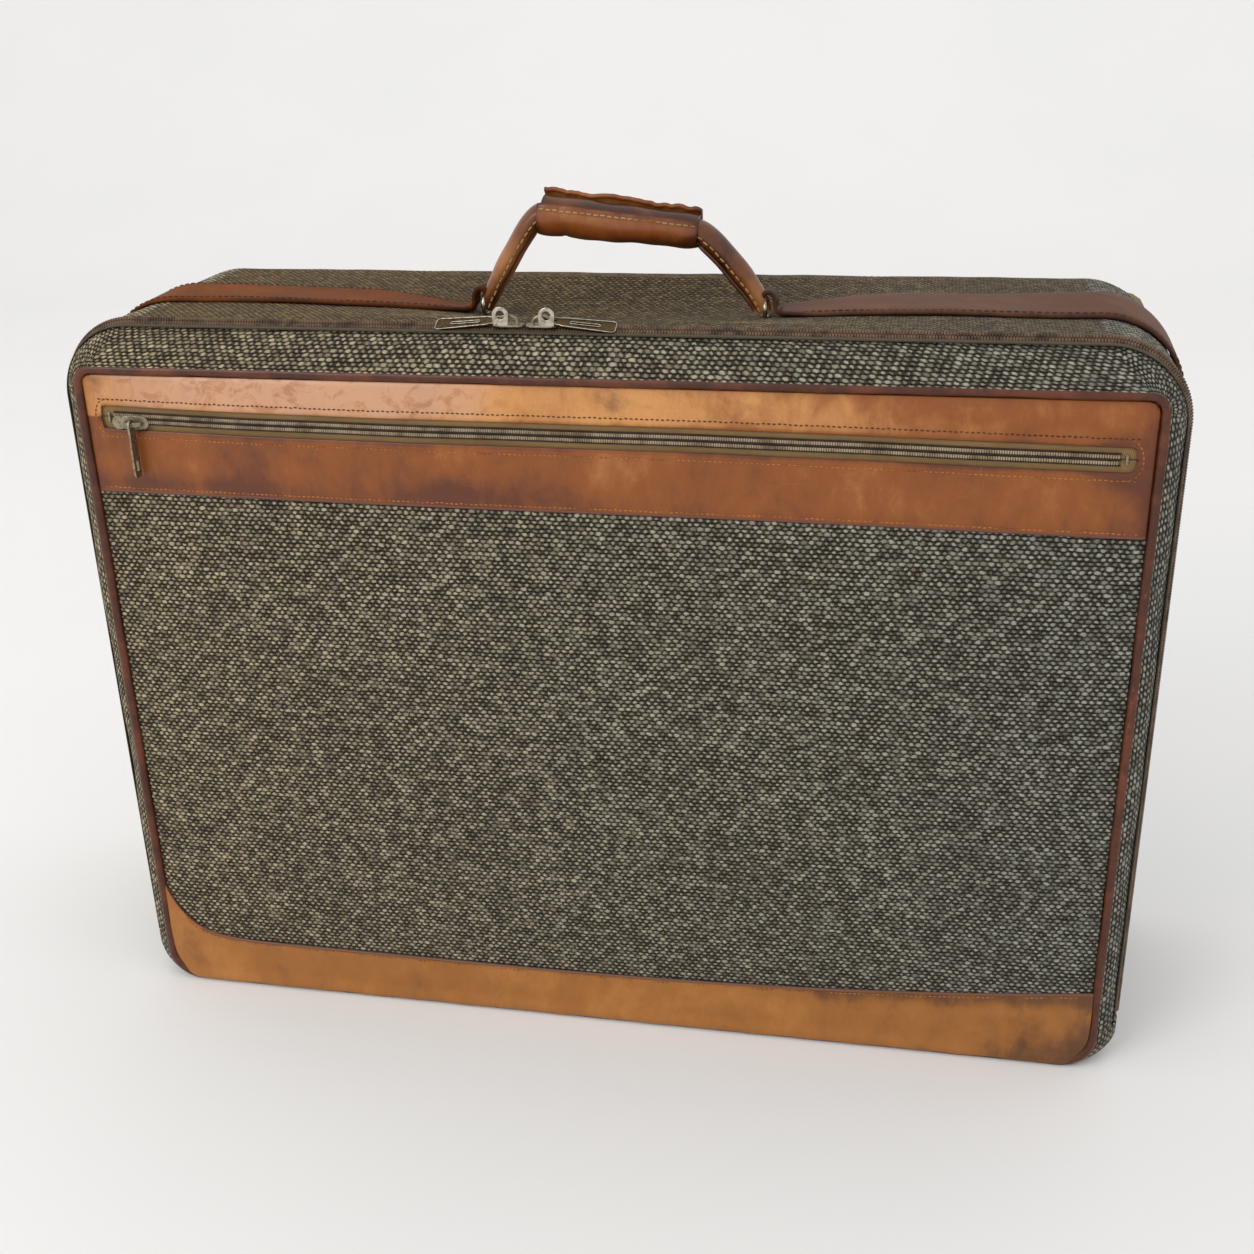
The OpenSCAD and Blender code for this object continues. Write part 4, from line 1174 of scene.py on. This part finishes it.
def main_zip():
    side_n = int((CASE_H - TOP_R - ZIP_LOW) / 3)
    for body, sign, name in (("case", 1, "body"), ("lid", -1, "lid")):
        loop = upper_outline(HALF - 1.8, CASE_H - 1.8, TOP_R - 1.8, ZIP_LOW, side_n, 26, 190)
        t = np.array([0.4, 1.5, 3.0, 4.5, 6.0, 7.2])
        along = distance_along(loop[:, :2])
        y = ZIP_Y + sign * t
        dip = -0.25 * np.clip(t - 3, 0, 5) / 4
        points = stacked(loop[:, None, 0] + loop[:, None, 2] * dip,
                         np.broadcast_to(y, (len(loop), len(t))), loop[:, None, 1] + loop[:, None, 3] * dip)
        uv = stacked(np.broadcast_to(along[:, None], points.shape[:2]),
                     np.broadcast_to(t, points.shape[:2]))
        tape = grid(f"{name}_zip_tape_cloth", points, TAPE_TOP, uv, flip=sign < 0)
        thicken(tape, 0.6)
        ride(tape, body, "zip_tape", f"{name}_zip_tape")
        dense = upper_outline(HALF - 1.2, CASE_H - 1.2, TOP_R - 1.2, ZIP_LOW, 300, 80, 400)
        path = stacked(dense[:, 0], np.zeros(len(dense)), dense[:, 1])
        n = int(length_of(path) / MAIN_PITCH)
        p = resample(path, n * 2 + 1)[(0 if sign > 0 else 1)::2][:n]
        tangent = unit(np.gradient(p, axis=0))
        across = np.tile([[0.0, sign, 0.0]], (len(p), 1))
        out = unit(np.cross(tangent, np.tile([[0.0, -1.0, 0.0]], (len(p), 1))))
        out = np.where((out * (p - np.array([0, 0, 200.0]))).sum(1, keepdims=True) < 0, -out, out)
        # The chain lies on the round edge of the case, so it leans forwards
        lean = unit(across + out * sign * 0.6)
        origins = p + np.array([0, ZIP_Y, 0]) + lean * 1.7 + out * 0.9
        part, faces = capsule(3.1, 0.85, 6, 0.7)
        coil = scatter(f"{name}_zip_coil_teeth", part, faces, origins,
                       np.stack([lean, tangent, unit(np.cross(lean, tangent))], 1), COIL_MAIN)
        ride(coil, body, "zip_coil", f"{name}_zip_coil")
    loop = upper_outline(HALF - 0.6, CASE_H - 0.6, TOP_R - 0.6, ZIP_LOW, 120, 30, 160)
    seam = stacked(loop[:, 0], ZIP_Y, loop[:, 1])
    ride(sweep("main_coil_core", seam, (0, 1, 0), ring_profile(0.6, 0.5, 6), CORD), "case", "zip_coil")


# ---- Handle ----


def grip_point(s, up=0.0, y=0.0):
    c, q = math.cos(GRIP_TILT), math.sin(GRIP_TILT)
    return GRIP + np.array([s * c + up * q, y, -s * q + up * c])


def arm_curve(side, n=48):
    """Centre line of an arm from its ring to inside the grip."""
    ring = RING_X[side > 0]
    foot = np.array([ring + side * 3.0, STRAP_Y, PIVOT_Z - 5.5])
    top = grip_point(side * (GRIP_L / 2 - 4))
    way = [foot, foot + [-side * 5.5, 0, 11], (foot + top) / 2 + [side * 1.5, 0, 5.5],
           top + [side * 9, 0, -4.5], top, grip_point(side * (GRIP_L / 2 - 22))]
    return smooth_path(way, n)


def handle_arm(side, name):
    """Arm from its ring into the grip, the leather's tail turned back along it, and its stitches."""
    path = arm_curve(side)
    t = np.linspace(0, 1, len(path))
    tangent = frames_along(path, (0, 1, 0))[0]
    # Outwards is away from the hand, on the arm's convex side
    outward = unit(np.cross(tangent, [0, 1.0, 0])) * -side
    # Rolled leather: round on top and pinched along the lower edges, where it is sewn
    a = np.linspace(0, 2 * math.pi, 24, endpoint=False)
    pinch = 1 + 0.10 * np.cos(2 * a) + 0.03 * np.cos(3 * a)
    profile = np.stack([7.6 * np.cos(a) * pinch, 5.9 * np.sin(a)], 1)
    swell = np.interp(t, [0, 0.08, 0.3, 0.7, 1], [0.66, 0.86, 1.06, 1.12, 1.10]) + 0.02 * np.sin(t * 23)
    tone = 0.50 + 0.22 * np.sin(t * 7 + side)
    arm = sweep(f"handle_arm_{name}", path, (0, 1, 0), profile, ARM_LEATHER, swell, tone=tone)
    ride(arm, "handle", "leather_tan", *(["handle_strap"] if side > 0 else []))
    keep = slice(2, 34)
    tail = path[keep] - outward[keep] * (5.0 * swell[keep, None] + 1.0)
    wide = np.interp(np.linspace(0, 1, len(tail)), [0, 0.15, 0.9, 1], [0.7, 1.0, 1.0, 0.6])
    flap = sweep(f"handle_tail_{name}", tail + outward[keep] * 1.3, (0, 1, 0), strip_profile(13.5, 2.6, 7),
                 ARM_LEATHER,
                 across_only(wide), tone=np.full(len(tail), 0.22))
    ride(flap, "handle", "leather_dark", *(["handle_flaps"] if side > 0 else []))
    keep = slice(2, 40)
    for where, sign in (("front", -1), ("rear", 1)):
        line = path[keep] + np.array([0, sign * 7.4, 0]) * swell[keep, None] - outward[keep] * 2.2
        sew("handle", f"arm_{name}_{where}_stitches", line, (0, sign, 0), THREAD_CREAM, 4.6, 3.3, 0.55,
            lift=0.3)


def grip_core():
    """Roll of leather seen through the open top of the grip."""
    v = np.linspace(-GRIP_L / 2 + 1, GRIP_L / 2 - 1, 60)
    core = np.array([grip_point(x, 0.25 * math.sin(x / 5.0) - 0.3) for x in v])
    tone = 0.22 + 0.1 * np.sin(v / 7.0)
    roll = sweep("grip_core", core, (0, 1, 0), ring_profile(10.6, 10.4, 20), ARM_LEATHER,
                 grip_radius(v) / GRIP_R, tone=tone)
    ride(roll, "handle", "leather_dark")


def grip_sleeve():
    """Sleeve wrapped from the front, under the core and up the back, with rough turned-up edges."""
    s = np.linspace(-GRIP_L / 2, GRIP_L / 2, 110)
    ss, ff = net(s, np.linspace(0, 1, 56))
    angle = np.radians(SLEEVE_FROM + (SLEEVE_TO - SLEEVE_FROM) * ff)
    front, rear = np.exp(-(ff / 0.05) ** 2), bell(1, ff, 0.06)
    torn = np.interp(s, np.linspace(s[0], s[-1], 42), npr.rand(42) * 2 - 1)[:, None]
    ragged = 0.9 * torn + 0.35 * np.sin(ss / 7.9 + 1)
    crease = -0.6 * np.exp(-((ss + 34 + 2 * np.sin(angle)) / 2.0) ** 2) * (1 - rear)
    folds = 0.35 * np.sin(ss / 8.0 + 2 * angle) + 0.22 * np.sin(ss / 3.3 - angle)
    reach = np.abs(ss) / (GRIP_L / 2)
    r = (grip_radius(ss) + crease + folds + front * (0.9 + 0.3 * ragged) + rear * (1.5 + 0.7 * ragged)
         - 0.9 * reach ** 14)
    across, up = r * np.cos(angle), r * np.sin(angle)
    c, q = math.cos(GRIP_TILT), math.sin(GRIP_TILT)
    points = stacked(GRIP[0] + ss * c + up * q, GRIP[1] + across, GRIP[2] - ss * q + up * c)
    # Painted light and shade: lighter on top and darker underneath, with a painted highlight left of the
    # middle; darker at the rough turned-up edges and towards the ends
    tone = (0.56 + 0.40 * np.sin(angle) - 0.5 * front - 0.5 * rear - 0.35 * reach ** 18
            + 0.15 * bell(ss, -20, 18))
    uv = stacked(ss, ff * 62)
    sleeve = grid("grip_sleeve", points, GRIP_LEATHER, uv, np.clip(tone, 0.02, 1), flip=True)
    thicken(sleeve, 2.2)
    ride(sleeve, "handle", "leather_tan", "grip_wrap")


def grip_stitches():
    v = np.linspace(-GRIP_L / 2 + 3, GRIP_L / 2 - 3, 40)
    for where, degrees in (("front", SLEEVE_FROM + 14), ("rear", SLEEVE_TO - 11)):
        a = math.radians(degrees)
        row = np.array([grip_point(x, k * math.sin(a), k * math.cos(a)) for x,
                        k in zip(v, grip_radius(v) + 0.55)])
        sew("handle", f"grip_{where}_stitches", row, (0, math.cos(a), math.sin(a)), THREAD_CREAM, 4.2, 3.0,
            0.55)


def grip_radius(s):
    """The grip is thicker at its left end."""
    return 12.6 - 1.3 * np.asarray(s, float) / (GRIP_L / 2)


def rings():
    for side, name in SIDES:
        ring_x = RING_X[side > 0]
        a = np.linspace(0, 2 * math.pi, 40, endpoint=False)
        x = ring_x + side * 3.2
        loop = stacked(np.full_like(a, x), STRAP_Y + 6.0 * np.cos(a), PIVOT_Z - 3.2 + 6.0 * np.sin(a))
        ring = sweep(f"handle_ring_{name}", loop, (1, 0, 0), ring_profile(1.4, 1.4, 12), NICKEL,
                     closed=True)
        ride(ring, "handle", "frame_steel", f"ring_{name}")
        # End of the strap: it curls up, closes round the ring and comes back down inside it
        way = [(15, -6.0), (10.5, -5.2), (8.2, -2.0), (7.8, 2.4), (6.2, 5.6), (3.4, 5.4), (2.0, 2.0),
               (2.2, -2.0)]
        path = smooth_path([(ring_x + side * dx, STRAP_Y, PIVOT_Z + dz) for dx, dz in way], 40)
        wide = np.interp(np.linspace(0, 1, 40), [0, 0.3, 0.6, 1], [0.72, 0.80, 0.76, 0.62])
        profile = np.array(strip_profile(16.5, 2.6, 8)) * [1, side * -1.0]
        fold = sweep(f"ring_fold_{name}", path, (0, 1, 0), profile, STRAP_L if side < 0 else STRAP_R,
                     across_only(wide),
                     tone=np.interp(np.linspace(0, 1, 40), [0, 0.5, 1], [0.45, 0.2, 0.12]))
        ride(fold, "handle", "leather_tan", f"ring_loop_{name}")


# ---- Sliders ----


def plate(name, outline, thick, material, place, holes=(), bevel=0.35):
    """Flat plate from an outline in X and Y, with optional holes; place maps it to the frame."""
    curve = bpy.data.curves.new(name, "CURVE")
    curve.dimensions, curve.fill_mode = "2D", "BOTH"
    for shape in [outline, *holes]:
        spline = curve.splines.new("POLY")
        spline.points.add(len(shape) - 1)
        for p, (x, y) in zip(spline.points, shape):
            p.co = (x * MM, y * MM, 0, 1)
        spline.use_cyclic_u = True
    curve.extrude = (thick / 2 - bevel) * MM
    curve.bevel_depth, curve.bevel_resolution, curve.offset = bevel * MM, 2, -bevel * MM
    holder = bpy.data.objects.new(name + "_curve", curve)
    scene.collection.objects.link(holder)
    graph = bpy.context.evaluated_depsgraph_get()
    mesh = bpy.data.meshes.new_from_object(holder.evaluated_get(graph))
    bpy.data.objects.remove(holder)
    mesh.transform(place)
    mesh.materials.clear()
    mesh.materials.append(material)
    obj = bpy.data.objects.new(name, mesh)
    scene.collection.objects.link(obj)
    return obj


def arc(cx, cy, r, angles):
    return [(cx + r * math.cos(math.radians(a)), cy + r * math.sin(math.radians(a))) for a in angles]


def circle(cx, cy, r, n=24):
    return arc(cx, cy, r, [360.0 * k / n for k in range(n)])


def round_rect(x0, x1, y0, y1, r, n=5):
    pts = []
    for cx, cy, a in ((x1 - r, y1 - r, 0), (x0 + r, y1 - r, 90), (x0 + r, y0 + r, 180),
                      (x1 - r, y0 + r, 270)):
        pts += arc(cx, cy, r, [a + 90 * k / n for k in range(n + 1)])
    return pts


def matrix(origin, x, y, z):
    m = Matrix((list(x) + [0], list(y) + [0], list(z) + [0], [0, 0, 0, 1])).transposed()
    m.translation = Vector(origin) * MM
    return m


def join(objs, name):
    """Several meshes as one object."""
    total = bmesh.new()
    materials = []
    for o in objs:
        part = bmesh.new()
        part.from_mesh(o.data)
        slot = []
        for m in o.data.materials:
            if m not in materials:
                materials.append(m)
            slot.append(materials.index(m))
        for f in part.faces:
            f.material_index = slot[min(f.material_index, len(slot) - 1)]
        temp = bpy.data.meshes.new("temp")
        part.to_mesh(temp)
        total.from_mesh(temp)
        part.free()
        bpy.data.meshes.remove(temp)
        bpy.data.objects.remove(o)
    mesh = bpy.data.meshes.new(name)
    total.to_mesh(mesh)
    total.free()
    for m in materials:
        mesh.materials.append(m)
    obj = bpy.data.objects.new(name, mesh)
    scene.collection.objects.link(obj)
    return obj


def slider(name, place, material):
    """Body of a zip slider: two shaped plates, the wedge between them and the arch that holds the pull."""
    nose = [(9.3, 0.0), (8.6, 2.2), (6.5, 3.8), (3.0, 4.4), (-2.0, 4.3), (-6.0, 4.1), (-8.6, 3.4),
            (-9.3, 1.6)]
    outline = nose + [(x, -y) for x, y in nose[::-1] if y > 0]
    objs = [plate(name + "_a", outline, 1.3, material, place @ Matrix.Translation((0, 0, -0.7 * MM))),
            plate(name + "_b", outline, 1.2, material, place @ Matrix.Translation((0, 0, -4.7 * MM)))]
    path = smooth_path([(-5.2, 0, -0.4), (-4.8, 0, 2.4), (-2.5, 0, 4.2), (2.0, 0, 4.3), (4.6, 0, 2.6),
                        (5.0, 0, -0.4)], 22)
    arch = sweep(name + "_c", path, (0, 1, 0), [(-1.3, -0.6), (-1.0, -0.8), (1.0, -0.8), (1.3, -0.6),
                                                (1.3, 0.6), (1.0, 0.8), (-1.0, 0.8), (-1.3, 0.6)], material)
    arch.data.transform(place)
    post = sweep(name + "_d", smooth_path([(0.2, 0, -4.5), (0.2, 0, -2), (0.2, 0, -0.6)], 4), (0, 1, 0),
                 ring_profile(0.35, 4.4, 12), material)
    post.data.transform(place)
    return objs + [arch, post]


def main_slider(side, name):
    """Slider of the main zip with its lock eye, an upright plate with a round hole that faces the front."""
    place = matrix((SLIDER_X[side > 0], ZIP_Y, TOP_PLATE_Z), (side, 0, 0), (0, side, 0), (0, 0, 1))
    parts = slider(f"slider_{name}", place, PEWTER)
    up = matrix((side * 13.5 + MEET_X, ZIP_Y - 3.9, TOP_PLATE_Z - 0.5), (1, 0, 0), (0, 0, 1), (0, -1, 0))
    shape = [(-4.4, 0.0), (4.4, 0.0)] + arc(0, 6.0, 4.8, range(0, 181, 12))
    parts.append(plate(f"eye_{name}", shape, 1.2, NICKEL, up, [circle(0, 6.2, 2.5)[::-1]], 0.3))
    ride(join(parts, f"slider_{name}_metal"), f"{name}_slider", "zip_metal", f"slider_{name}")


def main_pull(side, name):
    """Flat tab with a window for the arch and a narrow slot along it; bright nickel rims round its outline
    and the slot are painted highlights.

    It rests on the zip, turned about its own length towards the lower cloth in front.
    """
    along = Vector((side * math.cos(PULL_DIP), 0, -math.sin(PULL_DIP)))
    flat = Vector((0, math.cos(PULL_TURN) * side, math.sin(PULL_TURN) * side))
    pivot = (SLIDER_X[side > 0] + side * PULL_PIVOT_X, ZIP_Y, PULL_PIVOT_Z)
    place = matrix(pivot, along, flat, along.cross(flat))
    half = [(-0.9, -2.9), (8.9, -2.9), (9.8, -3.5), (PULL_L - 1.4, -4.7), (PULL_L, -3.4)]
    tab = half + [(x, -y) for x, y in half[::-1]]
    window = round_rect(0.9, 6.6, -1.6, 1.6, 0.6, 3)[::-1]
    slot = round_rect(14.5, 32.0, -0.9, 0.9, 0.85, 4)
    pull = plate(f"pull_{name}_metal", tab, 1.4, BRONZE, place, [window, slot[::-1]], 0.3)
    # Bright nickel rims round the tab and its slot: painted highlights along the edges
    rim_highlights = []
    for k, outline in enumerate((tab, slot)):
        line = resample(np.array([(u, v, 1.0) for u, v in outline + outline[:1]]), 90)[:-1]
        rim = sweep(f"pull_{name}_rim_{k}", line, (0, 0, 1), ring_profile(0.32, 0.32, 6), NICKEL,
                    closed=True)
        rim.data.transform(place)
        rim_highlights.append(rim)
    ride(join(rim_highlights, f"pull_{name}_edges"), f"{name}_pull", "zip_metal")
    ride(pull, f"{name}_pull", "zip_metal", f"pull_{name}")


def pocket_metal():
    place = matrix((POCKET_SLIDER_X, POCKET_PLATE_Y, SLOT_Z), (1, 0, 0), (0, 0, 1), (0, -1, 0))
    parts = slider("pocket_slider", place, PEWTER)
    # Round lobe at the closed end
    lobe = plate("pocket_lobe", circle(-10.0, 0.0, 4.4), 1.6, PEWTER,
                 place @ Matrix.Translation((0, 0, -0.6 * MM)), bevel=0.4)
    body = join(parts + [lobe], "pocket_slider_metal")
    ride(body, "pocket_slide", "zip_metal", "pocket_slider")
    up = matrix((POCKET_SLIDER_X, POCKET_PIVOT_Y, SLOT_Z), (0, -1, 0), (0, 0, -1), (1, 0, 0))
    tab = arc(0, 0, 3.4, range(180, 361, 15))
    tab += [(3.4, 8.0), (3.9, 12.0), (3.9, 30.0), (2.6, 33.0), (-2.6, 33.0), (-3.9, 30.0), (-3.9, 12.0),
            (-3.4, 8.0)]
    pull = plate("pocket_pull_metal", tab, 1.4, PEWTER, up,
                 [circle(0, 0, 1.9)[::-1], round_rect(-1.2, 1.2, 22, 29, 1.1, 4)[::-1]], 0.3)
    ride(pull, "pocket_pull_tab", "zip_metal", "pocket_pull")


# ---- Inside ----


def cloth_sheet(name, node, y, wave, corner, body, material, slot, thick=0.6):
    """Upright lining sheet with round corners and soft creases; wave is their height and direction."""
    low, high = (np.array(edge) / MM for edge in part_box(node))
    x = np.linspace(low[0] + 0.4, high[0] - 0.4, 130)
    t = np.linspace(0, 1, 90)
    bend = clamp((np.abs(x) - (high[0] - corner)) / corner)
    cut = corner * (1 - np.sqrt(np.maximum(0, 1 - bend ** 2)))
    xx, tt = net(x, t)
    zz = (low[2] + cut)[:, None] + (high[2] - low[2] - 2 * cut)[:, None] * tt
    hold = (1 - (np.abs(xx) / high[0]) ** 12) * np.sin(np.pi * tt) ** 0.35
    crease = (np.abs(np.sin(xx / 83.0 + 0.9 * np.sin(zz / 97.0))) ** 0.5
              + 0.5 * np.abs(np.sin(zz / 61.0 - xx / 140.0 + 1.0)) ** 0.5)
    crease = crease + 0.25 * np.sin(xx / 13.0 + zz / 29.0) * np.sin(zz / 17.0)
    obj = grid(name, stacked(xx, y + wave * hold * crease, zz), material, stacked(xx, zz), flip=wave < 0)
    thicken(obj, thick)
    return ride(obj, body, slot, node)


def lid_foam():
    """Sheet of padding behind the tweed, fuller in the middle."""
    x = np.linspace(-FOAM_HALF, FOAM_HALF, 90)
    t = np.linspace(0, 1, 60)
    xx, tt = net(x, t)
    zz = FOAM_LOW + FOAM_H * tt
    full = (1 - (np.abs(xx) / FOAM_HALF) ** 10) * clamp(1 - np.abs(2 * tt - 1) ** 8)
    front = stacked(xx, -83.0 - 1.9 * full - 0.25 * np.sin(xx / 31.0) * np.sin(zz / 27.0) * full, zz)
    back = stacked(xx, np.full_like(xx, -82.5), zz)
    loop = np.concatenate([front, back[:, ::-1]], 1)
    foam = make("lid_padding_foam", loop, tube_faces(*loop.shape[:2]), FOAM)
    ride(foam, "lid", "padding", "lid_padding")


def case_lining():
    """Cloth round the inside of the body, with shallow creases and a hem at its mouth."""
    loop = full_outline(LINING_HALF, LINING_LOW, LINING_HIGH, 40.0, LINING_LOW_R, 5.0)
    y = np.concatenate([[-61.0, -60.4, -59.0], np.linspace(-56, 88.5, 30)])
    along = distance_along(loop[:, :2])
    aa, yy = net(along, y)
    hold = clamp((yy + 60) / 14) * clamp((90 - yy) / 10)
    crease = (np.abs(np.sin(aa / 67.0 + 0.6 * np.sin(yy / 23.0))) ** 0.5
              + 0.3 * np.sin(aa / 17.0 + yy / 31.0) * np.sin(yy / 14.0))
    inward = 0.4 + 1.6 * hold * crease + 0.7 * bell(yy, -59.5, 1.6)
    x = loop[:, None, 0] - loop[:, None, 2] * inward
    z = loop[:, None, 1] - loop[:, None, 3] * inward
    z = z - np.where(loop[:, None, 1] > 440, sag(x, yy), 0)
    wall = grid("body_lining_cloth", stacked(x, yy, z), LINING, stacked(aa, yy), loop_n=True, flip=True)
    thicken(wall, 0.6)
    ride(wall, "case", "lining", "top_lining")
    cloth_sheet("back_lining_cloth", "body_lining", 89.9, -1.6, LINING_LOW_R, "case", LINING, "lining")


def packing_straps():
    for side, name in SIDES:
        t = np.linspace(0, 1, 60)
        x = side * (TIE_START + TIE_L * t)
        path = stacked(x, TIE_Y + 0.8 * np.cos(t * 9), TIE_Z - 5.0 * np.sin(np.pi * t) ** 1.3)
        wide = 1 - 0.04 * np.sin(t * 11)
        strip = sweep(f"tie_strap_{name}_band", path, (0, 0, 1), strip_profile(24.6, 1.6, 8), EDGE,
                      across_only(wide), tone=np.full(60, 0.6))
        ride(strip, "case", "leather_dark", f"tie_strap_{name}")
        for k in (-9.5, 9.5):
            row = path + np.array([0, -1.0, k])
            sew("case", f"tie_strap_{name}_stitches_{'low' if k < 0 else 'high'}", row, (0, -1, 0),
                THREAD_DARK, 4.6, 3.0)


def inside():
    cloth_sheet("lid_lining_cloth", "lid_lining", -79.0, 2.4, 16.0, "lid", LINING, "lining")
    cloth_sheet("pocket_lining_cloth", "pocket_lining", -82.2, 0.35, 16.0, "lid", LINING, "lining", 0.4)
    lid_foam()
    case_lining()
    packing_straps()
    looks = {"side_board": BOARD, "back_board": BOARD, "lid_board": BOARD, "top_stiffener": BOARD,
             "front_hoop": STEEL, "rear_hoop": STEEL,
             "tie_buckle": NICKEL, "zip_end_stops": PEWTER}
    for node, material in looks.items():
        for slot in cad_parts[node].material_slots:
            slot.material = material


front_tweed()
top_band()
base_band()
front_stitches()
pocket_zip()
welt("lid_welt_leather", WELT_HALF, WELT_LOW, WELT_HIGH, WELT_TOP_R, WELT_LOW_R, WELT_Y, DARK, "lid",
     "lid_welt")
welt("back_welt_leather", HALF - WELT_R, WELT_R, CASE_H - WELT_R, TOP_R - WELT_R, LOW_R - WELT_R,
     BACK_WELT_Y, PIPE_BACK, "case", "back_welt")
lid_bevel()
hinge_fold()
body_cloth()
back_cloth()
top_board()
for side, side_name in SIDES:
    strap(side, side_name)
main_zip()
for side, side_name in SIDES:
    handle_arm(side, side_name)
grip_core()
grip_sleeve()
grip_stitches()
rings()
for side, side_name in SIDES:
    main_slider(side, side_name)
    main_pull(side, side_name)
pocket_metal()
inside()

# ---- Stage, lights and camera ----


def floor_look():
    k = Look("floor")
    place = k.place()
    colour = k.mix(k.step(k.noise(place, 0.002, 2), 0.3, 0.7), "#eeedea", "#f1efec")
    return k.finish(colour, 0.9, Specular_IOR_Level=0.1)


def stage():
    y = np.concatenate([np.linspace(-4000, 2200, 8),
                        2200 + 1500 * np.sin(np.linspace(0, np.pi / 2, 16)[1:]), [3700, 3700]])
    z = np.concatenate([np.zeros(8), 1500 - 1500 * np.cos(np.linspace(0, np.pi / 2, 16)[1:]), [3000, 5000]])
    x = np.linspace(-6000, 6000, 8)
    points = stacked(np.broadcast_to(x[:, None], (8, len(y))), np.broadcast_to(y, (8, len(y))),
                     np.broadcast_to(z, (8, len(z))))
    grid("floor_sweep", points, floor_look())


def area_light(name, place, target, size, power, colour=(1, 1, 1)):
    light = bpy.data.lights.new(name, "AREA")
    light.shape, light.size, light.energy, light.color = "DISK", size, power, colour
    obj = bpy.data.objects.new(name, light)
    scene.collection.objects.link(obj)
    obj.location = place
    obj.rotation_euler = (Vector(target) - Vector(place)).to_track_quat("-Z", "Y").to_euler()


def camera(eye, look, roll, lens):
    """Camera in metres that looks from eye to look, with a little roll."""
    d = (look - eye).normalized()
    r = d.cross(Vector((0, 0, 1))).normalized()
    u = r.cross(d)
    c, q = math.cos(roll), math.sin(roll)
    r2, u2 = c * r + q * u, -q * r + c * u
    cam = bpy.data.cameras.new("camera")
    cam.sensor_width, cam.lens = 36.0, lens
    cam.clip_start, cam.clip_end = 0.02, 60
    obj = bpy.data.objects.new("camera", cam)
    scene.collection.objects.link(obj)
    obj.matrix_world = Matrix(((r2.x, u2.x, -d.x, eye.x), (r2.y, u2.y, -d.y, eye.y),
                               (r2.z, u2.z, -d.z, eye.z), (0, 0, 0, 1)))
    scene.camera = obj


stage()
world = bpy.data.worlds.new("studio")
scene.world = world
world.use_nodes = True
background = world.node_tree.nodes["Background"].inputs
background["Color"].default_value = (0.96, 0.97, 1.0, 1)
background["Strength"].default_value = 0.99
area_light("key", (-1.3, -1.9, 1.9), (0, 0, 0.3), 1.5, 22, (1.0, 0.97, 0.92))
area_light("wall", (0, 1.2, 2.6), (0, 3.6, 1.2), 2.0, 3)
camera(Vector((0.1875, -0.9183, 0.6590)), Vector((0.0200, -0.0873, 0.2914)), -0.0255, 44.15)
